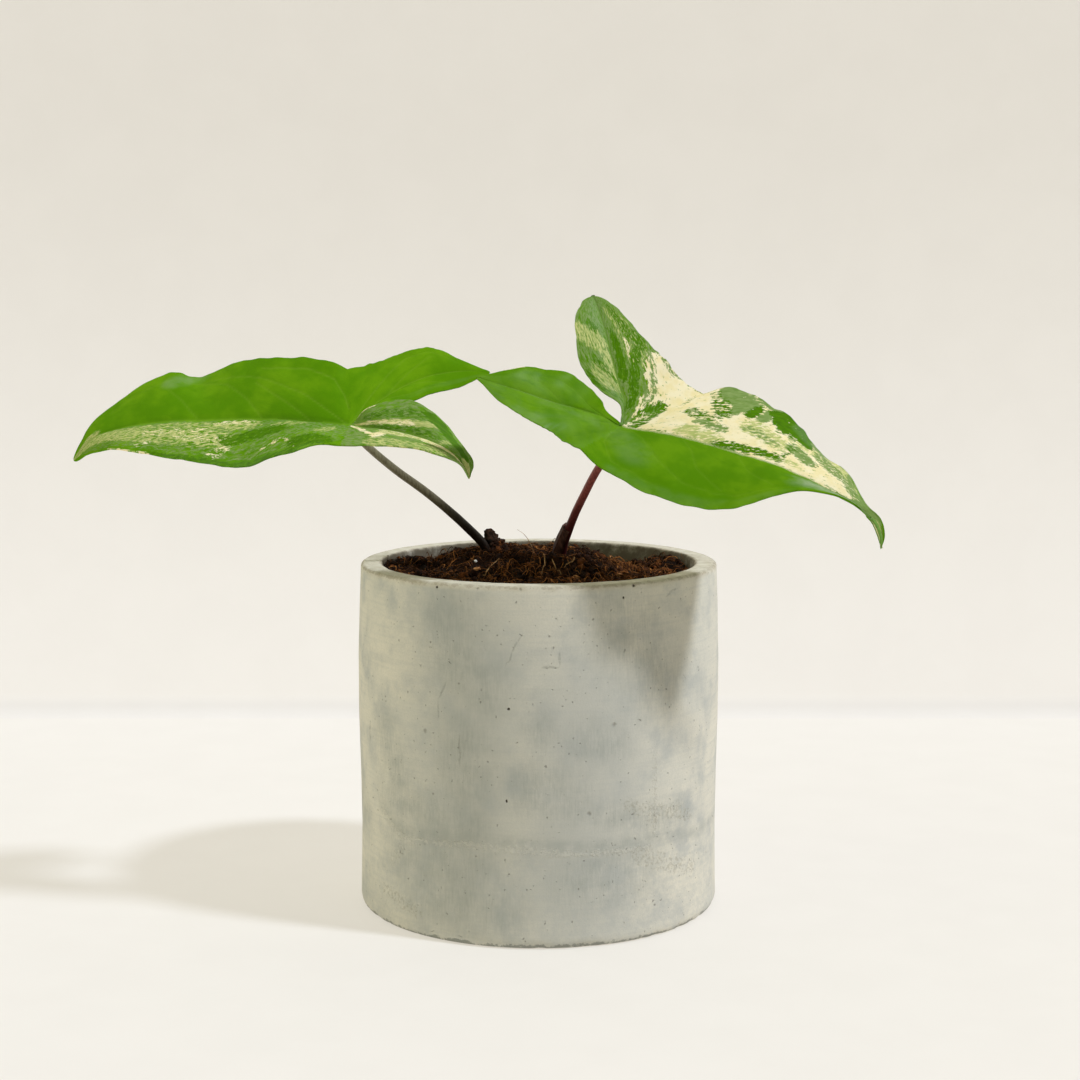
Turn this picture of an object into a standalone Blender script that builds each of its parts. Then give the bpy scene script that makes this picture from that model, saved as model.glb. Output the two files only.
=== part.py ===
"""Potted syngonium: two arrow-shaped leaves on arching petioles, in a round concrete pot of coir mix.

The pot stands on z = 0 with its axis through the origin. +X is to the right, and -Y is the front, the side
that the leaves face. The named sizes and guide points are in millimetres, and MM turns them into metres
where a mesh is made.
"""

import math

import bmesh
import bpy
from mathutils import Matrix, Vector
from mathutils.bvhtree import BVHTree

MM = 0.001
GAP = 0.3  # between pieces that rest on or sit in each other
SEAT_MARGIN = 0.1  # added to the gap where a faceted face could come nearer than the gap
WELD = 0.01  # points nearer than this are one point
UP = Vector((0, 0, 1))

# Pot
POT_HEIGHT = 116.0
POT_BASE_THICKNESS = 9.0
POT_MOUTH_RADIUS = 52.7
POT_FLOOR_RADIUS = 50.5
POT_FLOOR_EASE = 3.0  # bevel between the inner wall and the floor
POT_MOUTH_EASE = (0.7, 1.0)  # width and depth of the bevel at the mouth
POT_SEGMENTS = 60
# Outer side from the rim down, as (radius, height): slightly barrelled, and eased at both edges.
POT_SIDE = [
    (58.9, 116.0),
    (59.7, 115.7),
    (60.0, 114.9),
    (60.6, 101.0),
    (61.1, 85.0),
    (61.0, 64.0),
    (60.7, 45.0),
    (60.4, 27.0),
    (60.7, 11.0),
    (60.9, 2.5),
    (60.6, 0.9),
    (59.9, 0.0),
]

# Soil, just below the rim in front and at the left, lower behind and at the right
SOIL_SEGMENTS = 40
SOIL_RINGS = 9
SOIL_HEIGHT = 112.4
SOIL_FALL = (-0.9, -1.6)  # change in height from the middle to the right and to the back
# The mound round the stems, then the humps and hollows: x, y, rise, radius of the top, radius of the foot
SOIL_HUMPS = [
    (-4, 3, 6.1, 20, 39),
    (-50, 10, 1.8, 4, 20),
    (48, 21, 2.6, 4, 17),
    (28, 46, -1.9, 5, 18),
    (8, -38, 0.8, 3, 16),
]

# Leaves. Each line of guide points runs away from the petiole's attachment, and the points of the lines that
# share a lobe face each other in order. "back" is the side away from the front, which rises, and "front" is
# the side that hangs. A lobe's lines leave out the attachment at their start and the lobe's tip at their end.
BLADE_THICKNESS = 0.6
BLADE_CAMBER = 0.05  # how far a half bows upwards, as a share of its width
BOW_START = 0.2  # share of a lobe's length over which the bow grows from nothing
RIB_STEP = 0.03  # share of the rib that gives its direction
COLUMNS = 6
BASAL_LOBE_ROWS = 10
LEFT_LEAF = {
    "attachment": (-61, -25, 164),
    "sinus": (-59.5, -24.5, 164.3),
    "midrib": [(-70, -23, 164.5), (-81, -20, 165), (-94.5, -16, 165), (-110, -12, 164.5), (-125, -8, 163.5),
               (-138, -4, 161.5), (-149, 0, 158)],
    "tip": (-157, 2, 150),
    "back_shoulder": (-63, -10, 181),
    "back_margin": [(-71.5, -8, 184), (-87, -3, 184.5), (-101, 3, 183), (-115, 8, 178), (-126, 7, 179),
                    (-140, 7, 171), (-151.5, 5, 162)],
    "front_shoulder": (-62, -47, 159),
    "front_margin": [(-71, -46, 159), (-81.5, -43, 155.5), (-95, -38, 151), (-109, -33, 152.5),
                     (-123, -26, 153.5), (-137.5, -16, 155), (-148.5, -5, 153)],
    "back_lobe": {
        "costa": [(-53.5, -20, 170), (-44.5, -15, 175.5), (-35, -12, 179), (-25, -11, 180.5)],
        "outer": [(-55, -7, 183), (-46, -5, 186), (-35.5, -4, 188), (-27, -6, 184.5)],
        "inner": [(-55, -24, 168), (-44.5, -22, 170), (-34.5, -18, 173.5), (-25.5, -15, 175.5)],
        "tip": (-16, -11, 180),
    },
    "front_lobe": {
        "costa": [(-52, -31, 163), (-42.5, -36, 162), (-33.5, -41, 159.5), (-27, -44, 156),
                  (-23.5, -46, 152)],
        "outer": [(-52.5, -49, 159), (-42.5, -51, 158.5), (-34, -53, 157.5), (-28.5, -52, 155.5),
                  (-24, -50, 153)],
        "inner": [(-55, -27, 169.5), (-44, -27, 172), (-33.5, -32, 168.5), (-26, -37, 160.5),
                  (-20, -43, 153.5)],
        "tip": (-21.5, -47, 148.5),
    },
}
RIGHT_LEAF = {
    "attachment": (26, -38, 164),
    "sinus": (26.5, -37.5, 164.3),
    "midrib": [(34.5, -42, 163), (43.5, -46, 161.5), (53.5, -50, 159), (63, -54, 156.5), (72, -58, 154),
               (81, -61.5, 150.5), (89.5, -64.5, 146), (97.5, -66, 141.5), (103, -62, 136.5),
               (106, -57, 131.5)],
    "tip": (107, -53, 127),
    "back_shoulder": (53, -27, 174),
    "back_margin": [(61, -28, 176), (68.5, -31, 173.5), (75.5, -34, 170), (82, -38, 165.5),
                    (86.5, -42, 159.5), (90.5, -48, 154.5), (95.5, -54, 151), (100, -64, 142.5),
                    (105.5, -60, 137), (107.5, -56, 131.5)],
    "front_shoulder": (13, -57, 158.5),
    "front_margin": [(20.5, -62, 152), (32.5, -67, 146.5), (46, -70, 142), (58.5, -72, 142),
                     (70, -72, 145.5), (80, -71, 147), (88.5, -71, 146), (96, -68, 142.5), (101, -64, 138),
                     (104.5, -58, 132.5)],
    "back_lobe": {
        "costa": [(27.5, -32.5, 171), (25.5, -29, 177.5), (23.5, -24, 186), (21.5, -19, 194.5),
                  (19.5, -15, 201)],
        "outer": [(47.5, -25, 177), (41, -23, 184.5), (35.5, -20, 190), (30, -17, 196.5), (24.5, -14, 202)],
        "inner": [(26.3, -34.4, 171), (19.5, -32, 175.5), (14, -28, 182.5), (12, -23, 192.5),
                  (13, -18, 201)],
        "tip": (18, -13, 205),
    },
    "front_lobe": {
        "costa": [(20.5, -43, 167.5), (13, -47, 170), (4, -50, 172.5), (-4.5, -52, 175.5), (-12, -54, 178)],
        "outer": [(8, -59, 161), (3, -60, 165), (-3, -60, 168), (-9, -59, 171.5), (-13.5, -57, 174.5)],
        "inner": [(21.5, -41, 169), (19, -42, 173.5), (11.5, -43, 180), (2, -45, 182.5), (-6.5, -49, 183)],
        "tip": (-19, -55, 180.5),
    },
}

# Petioles: route from 12 mm under the soil up to the blade, and radius as (share of the route, radius)
LEFT_PETIOLE = [(-17, 6, 106), (-17.2, 5.6, 113), (-18.3, 4.6, 120), (-24, 0.7, 127), (-31, -4.4, 134.2),
                (-38.5, -9, 141), (-46, -13.1, 147), (-52.3, -17, 152.7), (-57.6, -21.3, 158.2),
                (-60.9, -24.7, 162.7)]
LEFT_PETIOLE_RADII = [(0.0, 1.7), (0.22, 1.6), (0.5, 1.4), (1.0, 1.2)]
RIGHT_PETIOLE = [(7.5, 3, 106), (7.3, 1.5, 113), (8, -1.6, 120.5), (9.8, -6.4, 126.6), (12.3, -12.5, 133.7),
                 (15.2, -19.5, 140.8), (18.1, -25.8, 147.4), (21.5, -31.3, 153.8), (24.3, -35.4, 159.2),
                 (26, -37.6, 162.9)]
RIGHT_PETIOLE_RADII = [(0.0, 1.9), (0.22, 1.75), (0.4, 1.4), (1.0, 1.2)]
PETIOLE_STEPS = 18
PETIOLE_SHARES = [i / PETIOLE_STEPS for i in range(PETIOLE_STEPS + 1)]
PETIOLE_SIDES = 2  # bevel resolution

# Old stem stub beside the left petiole's foot: ringed outline as (radius, height along the stub)
STUB_PROFILE = [(0, 17.6), (1.2, 17.4), (2.0, 16.2), (1.8, 15.2), (2.7, 14.2), (2.6, 13.2), (3.5, 12.2),
                (3.5, 11.4), (4.6, 10.2), (4.8, 8.0), (4.3, 4.0), (3.4, 1.0), (0, 0)]
STUB_FOOT = (-11.6, 8.6, 109.2)
STUB_LEAN = (-0.36, -0.1, 1.0)
STUB_SEGMENTS = 16
STUB_CLEARANCE = 0.45

# Dry sheath wrapped round the left side of the right petiole's foot
SHEATH_SHARES = [*PETIOLE_SHARES[:7], 0.357]
SHEATH_RADII = [(0.0, 3.4), (0.22, 3.2), (0.4, 2.25)]
SHEATH_EDGE = (9.7, -5, 125)  # a point of the plane that its two long edges end at
SHEATH_EDGE_LEAN = 17  # degrees from upright, to the right
SHEATH_OPENING = (40, 60, 80)  # the block that cuts the open side away

# Loose things on the soil, by their place from above
ROOTLETS = {
    "rootlet_front": [(1.5, -12), (1.9, -18), (2.1, -24), (1.6, -27), (1.0, -30)],
    "rootlet_middle": [(4.5, -19), (5.4, -23), (6.4, -26), (7.4, -30)],
    "rootlet_right": [(12.0, -12), (11.6, -16), (10.4, -20), (8.4, -23)],
    "rootlet_left": [(-18.0, -27.5), (-17.0, -25.2), (-15.4, -23), (-12.6, -20.5)],
}
ROOTLET_RADIUS = 0.28
ROOTLET_STEPS = 12
ROOTLET_REACH = 0.5  # how far round its place a rootlet must clear the soil
# x, y, length, width, thickness, turn in degrees
BARK_CHIPS = {
    "bark_chip_left": (-20.0, -23.5, 2.6, 1.3, 0.9, 25),
    "bark_chip_right": (27.0, -17, 3.2, 1.5, 1.1, -35),
    "bark_chip_front": (12.2, -29, 2.8, 1.4, 0.9, 70),
}
PERLITE_PLACE = (-20.7, -18.5)
PERLITE_RADIUS = 0.5

COLOURS = {
    "concrete": ((0.42, 0.41, 0.35), 0.85),
    "coir": ((0.035, 0.02, 0.012), 0.95),
    "leaf": ((0.12, 0.29, 0.03), 0.35),
    "variegated_leaf": ((0.3, 0.42, 0.12), 0.35),
    "green_brown_petiole": ((0.045, 0.04, 0.02), 0.45),
    "maroon_petiole": ((0.06, 0.015, 0.015), 0.4),
    "old_stem": ((0.05, 0.028, 0.018), 0.9),
    "dry_sheath": ((0.16, 0.1, 0.07), 0.8),
    "root": ((0.35, 0.22, 0.12), 0.8),
    "bark": ((0.3, 0.13, 0.05), 0.85),
    "perlite": ((0.75, 0.74, 0.7), 0.9),
}


def clear_scene():
    for obj in list(bpy.data.objects):
        bpy.data.objects.remove(obj, do_unlink=True)


def collection(name):
    made = bpy.data.collections.new(name)
    bpy.context.scene.collection.children.link(made)
    return made


def make_material(name):
    colour, roughness = COLOURS[name]
    made = bpy.data.materials.new(name)
    made.use_nodes = True
    shader = made.node_tree.nodes["Principled BSDF"]
    shader.inputs["Base Color"].default_value = (*colour, 1)
    shader.inputs["Roughness"].default_value = roughness
    shader.inputs["Metallic"].default_value = 0
    made.diffuse_color = (*colour, 1)
    return made


def add_object(name, data, material, target):
    obj = bpy.data.objects.new(name, data)
    obj.data.materials.append(material)
    target.objects.link(obj)
    return obj


def evaluated_mesh(obj):
    """The object's mesh with its modifiers or bevel applied, its points welded, in place of the object."""
    bpy.context.view_layer.update()
    graph = bpy.context.evaluated_depsgraph_get()
    mesh = bpy.data.meshes.new_from_object(obj.evaluated_get(graph))
    name, place, home = obj.name, obj.matrix_world.copy(), obj.users_collection[0]
    bpy.data.objects.remove(obj, do_unlink=True)
    bm = bmesh.new()
    bm.from_mesh(mesh)
    bmesh.ops.remove_doubles(bm, verts=bm.verts, dist=WELD * MM)
    bmesh.ops.recalc_face_normals(bm, faces=bm.faces)
    bm.to_mesh(mesh)
    bm.free()
    made = bpy.data.objects.new(name, mesh)
    made.matrix_world = place
    home.objects.link(made)
    return made


def cut(target, cutter):
    modifier = target.modifiers.new("cut_" + cutter.name, "BOOLEAN")
    modifier.operation = "DIFFERENCE"
    modifier.solver = "EXACT"
    modifier.object = cutter


def hide(obj):
    obj.hide_render = True
    obj.display_type = "WIRE"


def through(points, share):
    """The point at share, 0 to 1, of a smooth curve through the points, each the same share from the next."""
    points = [Vector(point) for point in points]
    points = [2 * points[0] - points[1], *points, 2 * points[-1] - points[-2]]
    place = min(max(share, 0), 1) * (len(points) - 3)
    first = min(int(place), len(points) - 4)
    t = place - first
    a, b, c, d = points[first:first + 4]
    return b + 0.5 * t * (c - a + t * (2 * a - 5 * b + 4 * c - d + t * (3 * (b - c) + d - a)))


def along(steps, share):
    """The value at share of a line through (share, value) pairs."""
    for (low, value), (high, following) in zip(steps, steps[1:]):
        if share <= high:
            return value + (following - value) * (share - low) / (high - low)
    return steps[-1][1]


def turned(name, profile, segments, material, target):
    """A profile of (radius, height), which runs down its outer side, turned about Z."""
    mesh = bpy.data.meshes.new(name)
    points = [(radius * MM, 0, height * MM) for radius, height in profile]
    mesh.from_pydata(points, [(i, i + 1) for i in range(len(points) - 1)], [])
    obj = add_object(name, mesh, material, target)
    screw = obj.modifiers.new("turn", "SCREW")
    screw.steps = screw.render_steps = segments
    screw.use_merge_vertices = True
    screw.merge_threshold = WELD * MM
    screw.use_smooth_shade = True
    return obj


def tube(name, route, radii, shares, material, target, clearance=0.0):
    """A round bar at the shares of a smooth curve through the route. The clearance makes a cutter of it."""
    curve = bpy.data.curves.new(name, "CURVE")
    curve.dimensions = "3D"
    curve.bevel_depth = MM
    curve.bevel_resolution = PETIOLE_SIDES
    curve.use_fill_caps = True
    spline = curve.splines.new("POLY")
    spline.points.add(len(shares) - 1)
    for share, point in zip(shares, spline.points):
        point.co = (*(through(route, share) * MM), 1)
        point.radius = along(radii, share) + clearance
    spline.points[0].co.z -= clearance * MM
    return add_object(name, curve, material, target)


# --- pot and soil ------------------------------------------------------------------------------------------


def make_pot(target):
    ease, (lip_width, lip_depth) = POT_FLOOR_EASE, POT_MOUTH_EASE
    inside = [(0, POT_BASE_THICKNESS), (POT_FLOOR_RADIUS - ease, POT_BASE_THICKNESS)]
    inside += [(POT_FLOOR_RADIUS, POT_BASE_THICKNESS + ease)]
    inside += [(POT_MOUTH_RADIUS, POT_HEIGHT - lip_depth), (POT_MOUTH_RADIUS + lip_width, POT_HEIGHT)]
    return turned("pot", [*inside, *POT_SIDE, (0, 0)], POT_SEGMENTS, make_material("concrete"), target)


def soil_height(x, y):
    """Height of the soil's surface, in millimetres."""
    height = SOIL_HEIGHT + (SOIL_FALL[0] * x + SOIL_FALL[1] * y) / POT_MOUTH_RADIUS
    for hump_x, hump_y, rise, top_radius, foot_radius in SOIL_HUMPS:
        fall = (math.hypot(x - hump_x, y - hump_y) - top_radius) / (foot_radius - top_radius)
        fall = min(max(fall, 0), 1)
        height += rise * (1 - fall * fall * (3 - 2 * fall))
    return height


def make_soil(target):
    foot = POT_BASE_THICKNESS + GAP
    ease = POT_FLOOR_EASE + GAP
    rim_radius = POT_MOUTH_RADIUS - GAP - SEAT_MARGIN
    foot_radius = POT_FLOOR_RADIUS - GAP - SEAT_MARGIN
    top = [(rim_radius * i / SOIL_RINGS, POT_HEIGHT) for i in range(SOIL_RINGS + 1)]
    side = [(foot_radius, foot + ease + SEAT_MARGIN), (foot_radius - ease, foot), (0, foot)]
    soil = evaluated_mesh(turned("soil", top + side, SOIL_SEGMENTS, make_material("coir"), target))
    for vertex in soil.data.vertices:
        if vertex.co.z > 0.99 * POT_HEIGHT * MM:
            vertex.co.z = soil_height(vertex.co.x / MM, vertex.co.y / MM) * MM
    return soil


# --- leaves ------------------------------------------------------------------------------------------------


def blade_point(lines, share, across):
    """A point of a lobe: share runs from its base to its tip, across from -1 over the rib at 0 to 1."""
    low_side, rib, high_side = lines
    middle = through(rib, share)
    span = through(low_side if across < 0 else high_side, share) - middle
    point = middle + span * abs(across)
    along_rib = through(rib, share + RIB_STEP) - through(rib, share - RIB_STEP)
    normal = span.cross(along_rib).normalized()
    if normal.dot(UP) < 0:
        normal.negate()
    bow = BLADE_CAMBER * span.length * 4 * abs(across) * (1 - abs(across)) * min(1, share / BOW_START)
    return point + normal * bow


def add_lobe(bm, lines, rows):
    made = bmesh.ops.create_grid(bm, x_segments=COLUMNS, y_segments=rows, size=0.5)
    for vertex in made["verts"]:
        vertex.co = blade_point(lines, vertex.co.y + 0.5, 2 * vertex.co.x) * MM


def lobe_lines(leaf, side):
    """The outer margin, costa and inner margin of a basal lobe, all from the attachment to the lobe's tip."""
    lobe = leaf[side + "_lobe"]
    outer = [leaf[side + "_shoulder"], *lobe["outer"], lobe["tip"]]
    costa = [leaf["attachment"], *lobe["costa"], lobe["tip"]]
    inner = [leaf["sinus"], *lobe["inner"], lobe["tip"]]
    return outer, costa, inner


def make_leaf(name, leaf, material, target):
    """A blade: its main lobe and two basal lobes as one surface, with its thickness below it."""
    midrib = [leaf["attachment"], *leaf["midrib"], leaf["tip"]]
    back = [leaf["back_shoulder"], *leaf["back_margin"], leaf["tip"]]
    front = [leaf["front_shoulder"], *leaf["front_margin"], leaf["tip"]]
    bm = bmesh.new()
    add_lobe(bm, (back, midrib, front), 2 * (len(midrib) - 1))
    for side in ("back", "front"):
        add_lobe(bm, lobe_lines(leaf, side), BASAL_LOBE_ROWS)
    bmesh.ops.remove_doubles(bm, verts=bm.verts, dist=2 * WELD * MM)
    bmesh.ops.dissolve_degenerate(bm, edges=bm.edges, dist=WELD * MM)
    bmesh.ops.recalc_face_normals(bm, faces=bm.faces)
    if sum(face.normal.z * face.calc_area() for face in bm.faces) < 0:
        bmesh.ops.reverse_faces(bm, faces=bm.faces)
    mesh = bpy.data.meshes.new(name)
    bm.to_mesh(mesh)
    bm.free()
    mesh.shade_smooth()
    obj = add_object(name, mesh, material, target)
    solidify = obj.modifiers.new("thickness", "SOLIDIFY")
    solidify.thickness = BLADE_THICKNESS * MM
    solidify.offset = -1
    return obj


# --- stems -------------------------------------------------------------------------------------------------


def bore(name, route, radii, cutters):
    """What a petiole or the sheath needs cut out of the things round it."""
    cutter = evaluated_mesh(tube(name, route, radii, PETIOLE_SHARES, CUTTER_MATERIAL, cutters, GAP))
    hide(cutter)
    return cutter


def make_stub(target, extra=0.0, name="stem_stub"):
    profile = [(radius + extra if radius else 0, height) for radius, height in STUB_PROFILE]
    profile[0] = (0, profile[0][1] + extra)
    profile[-1] = (0, profile[-1][1] - extra)
    stub = turned(name, profile, STUB_SEGMENTS, make_material("old_stem"), target)
    stub.location = Vector(STUB_FOOT) * MM
    stub.rotation_mode = "QUATERNION"
    stub.rotation_quaternion = Vector(STUB_LEAN).to_track_quat("Z", "Y")
    return evaluated_mesh(stub)


def make_sheath(target, cutters):
    """Half of a tube round the petiole's foot, open on its right side."""
    material = make_material("dry_sheath")
    sheath = evaluated_mesh(tube("sheath", RIGHT_PETIOLE, SHEATH_RADII, SHEATH_SHARES, material, target))
    bpy.ops.mesh.primitive_cube_add(size=1)
    side = bpy.context.object
    side.name = "sheath_open_side"
    lean = Matrix.Rotation(math.radians(SHEATH_EDGE_LEAN), 4, "Y")
    size = Vector(SHEATH_OPENING) * MM
    block = Matrix.Translation((size.x / 2, 0, 0)) @ Matrix.Diagonal((*size, 1))
    side.matrix_world = Matrix.Translation(Vector(SHEATH_EDGE) * MM) @ lean @ block
    move_to(side, cutters)
    hide(side)
    cut(sheath, side)
    return sheath


def move_to(obj, target):
    for home in obj.users_collection:
        home.objects.unlink(obj)
    target.objects.link(obj)


# --- loose things on the soil ------------------------------------------------------------------------------


def height_on(tree, x, y):
    hit = tree.ray_cast(Vector((x, y, 2 * POT_HEIGHT)) * MM, -UP)[0]
    return hit.z / MM


def resting_height(tree, x, y, reach):
    """The highest that the soil gets within reach of the place."""
    return max(height_on(tree, x + reach * i, y + reach * j) for i in (-1, 0, 1) for j in (-1, 0, 1))


def make_rootlets(tree, target):
    material = make_material("root")
    shares = [i / ROOTLET_STEPS for i in range(ROOTLET_STEPS + 1)]
    radii = [(0, ROOTLET_RADIUS), (1, ROOTLET_RADIUS)]
    for name, places in ROOTLETS.items():
        route = []
        for share in shares:
            x, y, _ = through([(x, y, 0) for x, y in places], share)
            route.append((x, y, resting_height(tree, x, y, ROOTLET_REACH) + ROOTLET_RADIUS + GAP))
        tube(name, route, radii, shares, material, target)


def make_chips(tree, target):
    material = make_material("bark")
    for name, (x, y, length, width, thickness, turn) in BARK_CHIPS.items():
        mesh = bpy.data.meshes.new(name)
        bm = bmesh.new()
        bmesh.ops.create_cube(bm, size=1)
        bmesh.ops.scale(bm, verts=bm.verts, vec=Vector((length, width, thickness)) * MM)
        bmesh.ops.bevel(bm, geom=bm.edges[:], offset=0.2 * thickness * MM, segments=1, affect="EDGES")
        bm.to_mesh(mesh)
        bm.free()
        chip = add_object(name, mesh, material, target)
        ahead, beside = Vector((1, 0)), Vector((0, 1))
        slope = Vector([(height_on(tree, x + a.x, y + a.y) - height_on(tree, x - a.x, y - a.y)) / 2
                        for a in (ahead, beside)])
        normal = Vector((-slope.x, -slope.y, 1)).normalized()
        lean = normal.to_track_quat("Z", "Y").to_matrix().to_4x4()
        lean = lean @ Matrix.Rotation(math.radians(turn), 4, "Z")
        place = Vector((x, y, height_on(tree, x, y))) + normal * (thickness / 2 + GAP + SEAT_MARGIN)
        chip.matrix_world = Matrix.Translation(place * MM) @ lean


def make_perlite(tree, target):
    mesh = bpy.data.meshes.new("perlite_grain")
    bm = bmesh.new()
    bmesh.ops.create_icosphere(bm, subdivisions=2, radius=PERLITE_RADIUS * MM)
    bm.to_mesh(mesh)
    bm.free()
    grain = add_object("perlite_grain", mesh, make_material("perlite"), target)
    x, y = PERLITE_PLACE
    grain.location = Vector((x, y, height_on(tree, x, y) + PERLITE_RADIUS + GAP)) * MM


# --- assembly ----------------------------------------------------------------------------------------------

clear_scene()
parts = collection("potted_syngonium")
cutters = collection("cutters")
cutters.hide_render = True
CUTTER_MATERIAL = bpy.data.materials.new("cutter")

make_pot(parts)
soil = make_soil(parts)
bpy.context.view_layer.update()
soil_tree = BVHTree.FromObject(soil, bpy.context.evaluated_depsgraph_get())
make_rootlets(soil_tree, parts)
make_chips(soil_tree, parts)
make_perlite(soil_tree, parts)

left = (LEFT_PETIOLE, LEFT_PETIOLE_RADII)
right = (RIGHT_PETIOLE, RIGHT_PETIOLE_RADII)
tube("petiole_left", *left, PETIOLE_SHARES, make_material("green_brown_petiole"), parts)
tube("petiole_right", *right, PETIOLE_SHARES, make_material("maroon_petiole"), parts)
left_bore = bore("left_bore", *left, cutters)
right_bore = bore("right_bore", *right, cutters)
sheath_bore = bore("sheath_bore", RIGHT_PETIOLE, SHEATH_RADII, cutters)

stub = make_stub(parts)
cut(stub, left_bore)
stub_socket = make_stub(cutters, STUB_CLEARANCE, "stub_socket")
hide(stub_socket)
sheath = make_sheath(parts, cutters)
cut(sheath, right_bore)
for socket in (left_bore, sheath_bore, stub_socket):
    cut(soil, socket)

make_leaf("leaf_left", LEFT_LEAF, make_material("leaf"), parts)
make_leaf("leaf_right", RIGHT_LEAF, make_material("variegated_leaf"), parts)
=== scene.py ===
"""Looks of the potted syngonium: two variegated blades on slim petioles, in coir mix, in a concrete pot."""

import math
import random

import bpy
import numpy as np
from mathutils import Matrix, Vector, noise


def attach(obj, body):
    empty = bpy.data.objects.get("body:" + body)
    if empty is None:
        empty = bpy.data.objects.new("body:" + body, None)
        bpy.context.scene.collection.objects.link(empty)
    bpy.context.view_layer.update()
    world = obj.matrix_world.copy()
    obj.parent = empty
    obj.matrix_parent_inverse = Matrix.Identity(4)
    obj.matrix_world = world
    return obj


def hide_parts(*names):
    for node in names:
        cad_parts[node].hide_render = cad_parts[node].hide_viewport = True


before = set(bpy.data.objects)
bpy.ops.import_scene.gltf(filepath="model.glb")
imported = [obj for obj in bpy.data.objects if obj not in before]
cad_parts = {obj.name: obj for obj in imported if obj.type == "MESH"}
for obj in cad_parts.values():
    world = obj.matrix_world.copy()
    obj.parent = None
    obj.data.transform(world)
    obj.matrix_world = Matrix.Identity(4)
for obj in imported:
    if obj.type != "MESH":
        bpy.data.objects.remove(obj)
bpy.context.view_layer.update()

MM = 0.001

# Pot, as in the CAD part, in millimetres; a profile is a list of (radius, height)
POT_HEIGHT = 116.0
POT_BASE_THICKNESS = 9.0
POT_MOUTH_RADIUS = 52.7
POT_FLOOR_RADIUS = 50.5
POT_FLAT_RADIUS = 50.0  # inside it the floor and the underside are smooth
POT_MIDDLE_RADIUS = 56.0  # the middle of the wall's thickness
POT_LIP_START = 113.5
POT_FOOT_TOP = 2.4
WALL_RADIUS = 60.7  # places round the wall are measured at this radius
POT_SEGMENTS = 256
POT_WALL_STEP = 1.4
POT_FOOT = [(0, 0), (40, 0), (57, 0), (59.2, 0.05), (59.9, 0.3), (60.4, 0.8), (60.7, 1.5)]
POT_WALL = [(60.9, 2.5), (60.7, 11), (60.4, 27), (60.7, 45), (61.0, 64), (61.1, 85), (60.6, 101),
            (60.05, 114.4)]
POT_LIP = [(60.0, 114.9), (59.9, 115.3), (59.7, 115.65), (59.35, 115.88), (58.9, 116.0), (57.5, 116.05),
           (56.0, 116.0), (54.6, 116.05), (53.6, 116.0), (53.1, 115.8), (52.8, 115.4), (52.65, 114.8)]
POT_INSIDE = [(52.4, 100), (51.8, 75), (51.2, 45), (POT_FLOOR_RADIUS, POT_BASE_THICKNESS + 3),
              (49.6, POT_BASE_THICKNESS + 0.9), (47.5, POT_BASE_THICKNESS), (0, POT_BASE_THICKNESS)]
LIP_EDGES = [(59.5, 115.6), (53.1, 115.8)]

# Soil, in millimetres; a hump is (x, y, rise, radius of its top, radius of its foot)
SOIL_HEIGHT = 112.4
SOIL_FALL = (-0.9, -1.6)
SOIL_HUMPS = [(-4, 3, 6.1, 20, 39), (-50, 10, 1.8, 4, 20), (48, 21, 2.6, 4, 17), (28, 46, -1.9, 5, 18),
              (8, -38, 0.8, 3, 16)]
SOIL_RADIUS = 52.3
SOIL_STEP = 0.8
SOIL_SEGMENTS = 220
CRUMBS = 4200
CLOD_EVERY = 9  # one crumb in so many is a clod
STUB_CRUMBS = 260  # so many lie against the old stem
FIBRES = 3600
FIBRE_STEPS = 6

# Guide lines of the blades, as in the CAD part
BLADE_CAMBER = 0.05
BLADE_THICKNESS = 0.5
LEFT_LEAF = {
    "attachment": (-61, -25, 164),
    "sinus": (-59.5, -24.5, 164.3),
    "midrib": [(-70, -23, 164.5), (-81, -20, 165), (-94.5, -16, 165), (-110, -12, 164.5), (-125, -8, 163.5),
               (-138, -4, 161.5), (-149, 0, 158)],
    "tip": (-157, 2, 150),
    "back_shoulder": (-63, -10, 181),
    "back_margin": [(-71.5, -8, 184), (-87, -3, 184.5), (-101, 3, 183), (-115, 8, 178), (-126, 7, 179),
                    (-140, 7, 171), (-151.5, 5, 162)],
    "front_shoulder": (-62, -47, 159),
    "front_margin": [(-71, -46, 159), (-81.5, -43, 155.5), (-95, -38, 151), (-109, -33, 152.5),
                     (-123, -26, 153.5), (-137.5, -16, 155), (-148.5, -5, 153)],
    "back_lobe": {
        "costa": [(-53.5, -20, 170), (-44.5, -15, 175.5), (-35, -12, 179), (-25, -11, 180.5)],
        "outer": [(-55, -7, 183), (-46, -5, 186), (-35.5, -4, 188), (-27, -6, 184.5)],
        "inner": [(-55, -24, 168), (-44.5, -22, 170), (-34.5, -18, 173.5), (-25.5, -15, 175.5)],
        "tip": (-16, -11, 180),
    },
    "front_lobe": {
        "costa": [(-52, -31, 163), (-42.5, -36, 162), (-33.5, -41, 159.5), (-27, -44, 156),
                  (-23.5, -46, 152)],
        "outer": [(-52.5, -49, 159), (-42.5, -51, 158.5), (-34, -53, 157.5), (-28.5, -52, 155.5),
                  (-24, -50, 153)],
        "inner": [(-55, -27, 169.5), (-44, -27, 172), (-33.5, -32, 168.5), (-26, -37, 160.5),
                  (-20.5, -43, 153.5)],
        "tip": (-21.5, -47, 148.5),
    },
}
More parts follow.
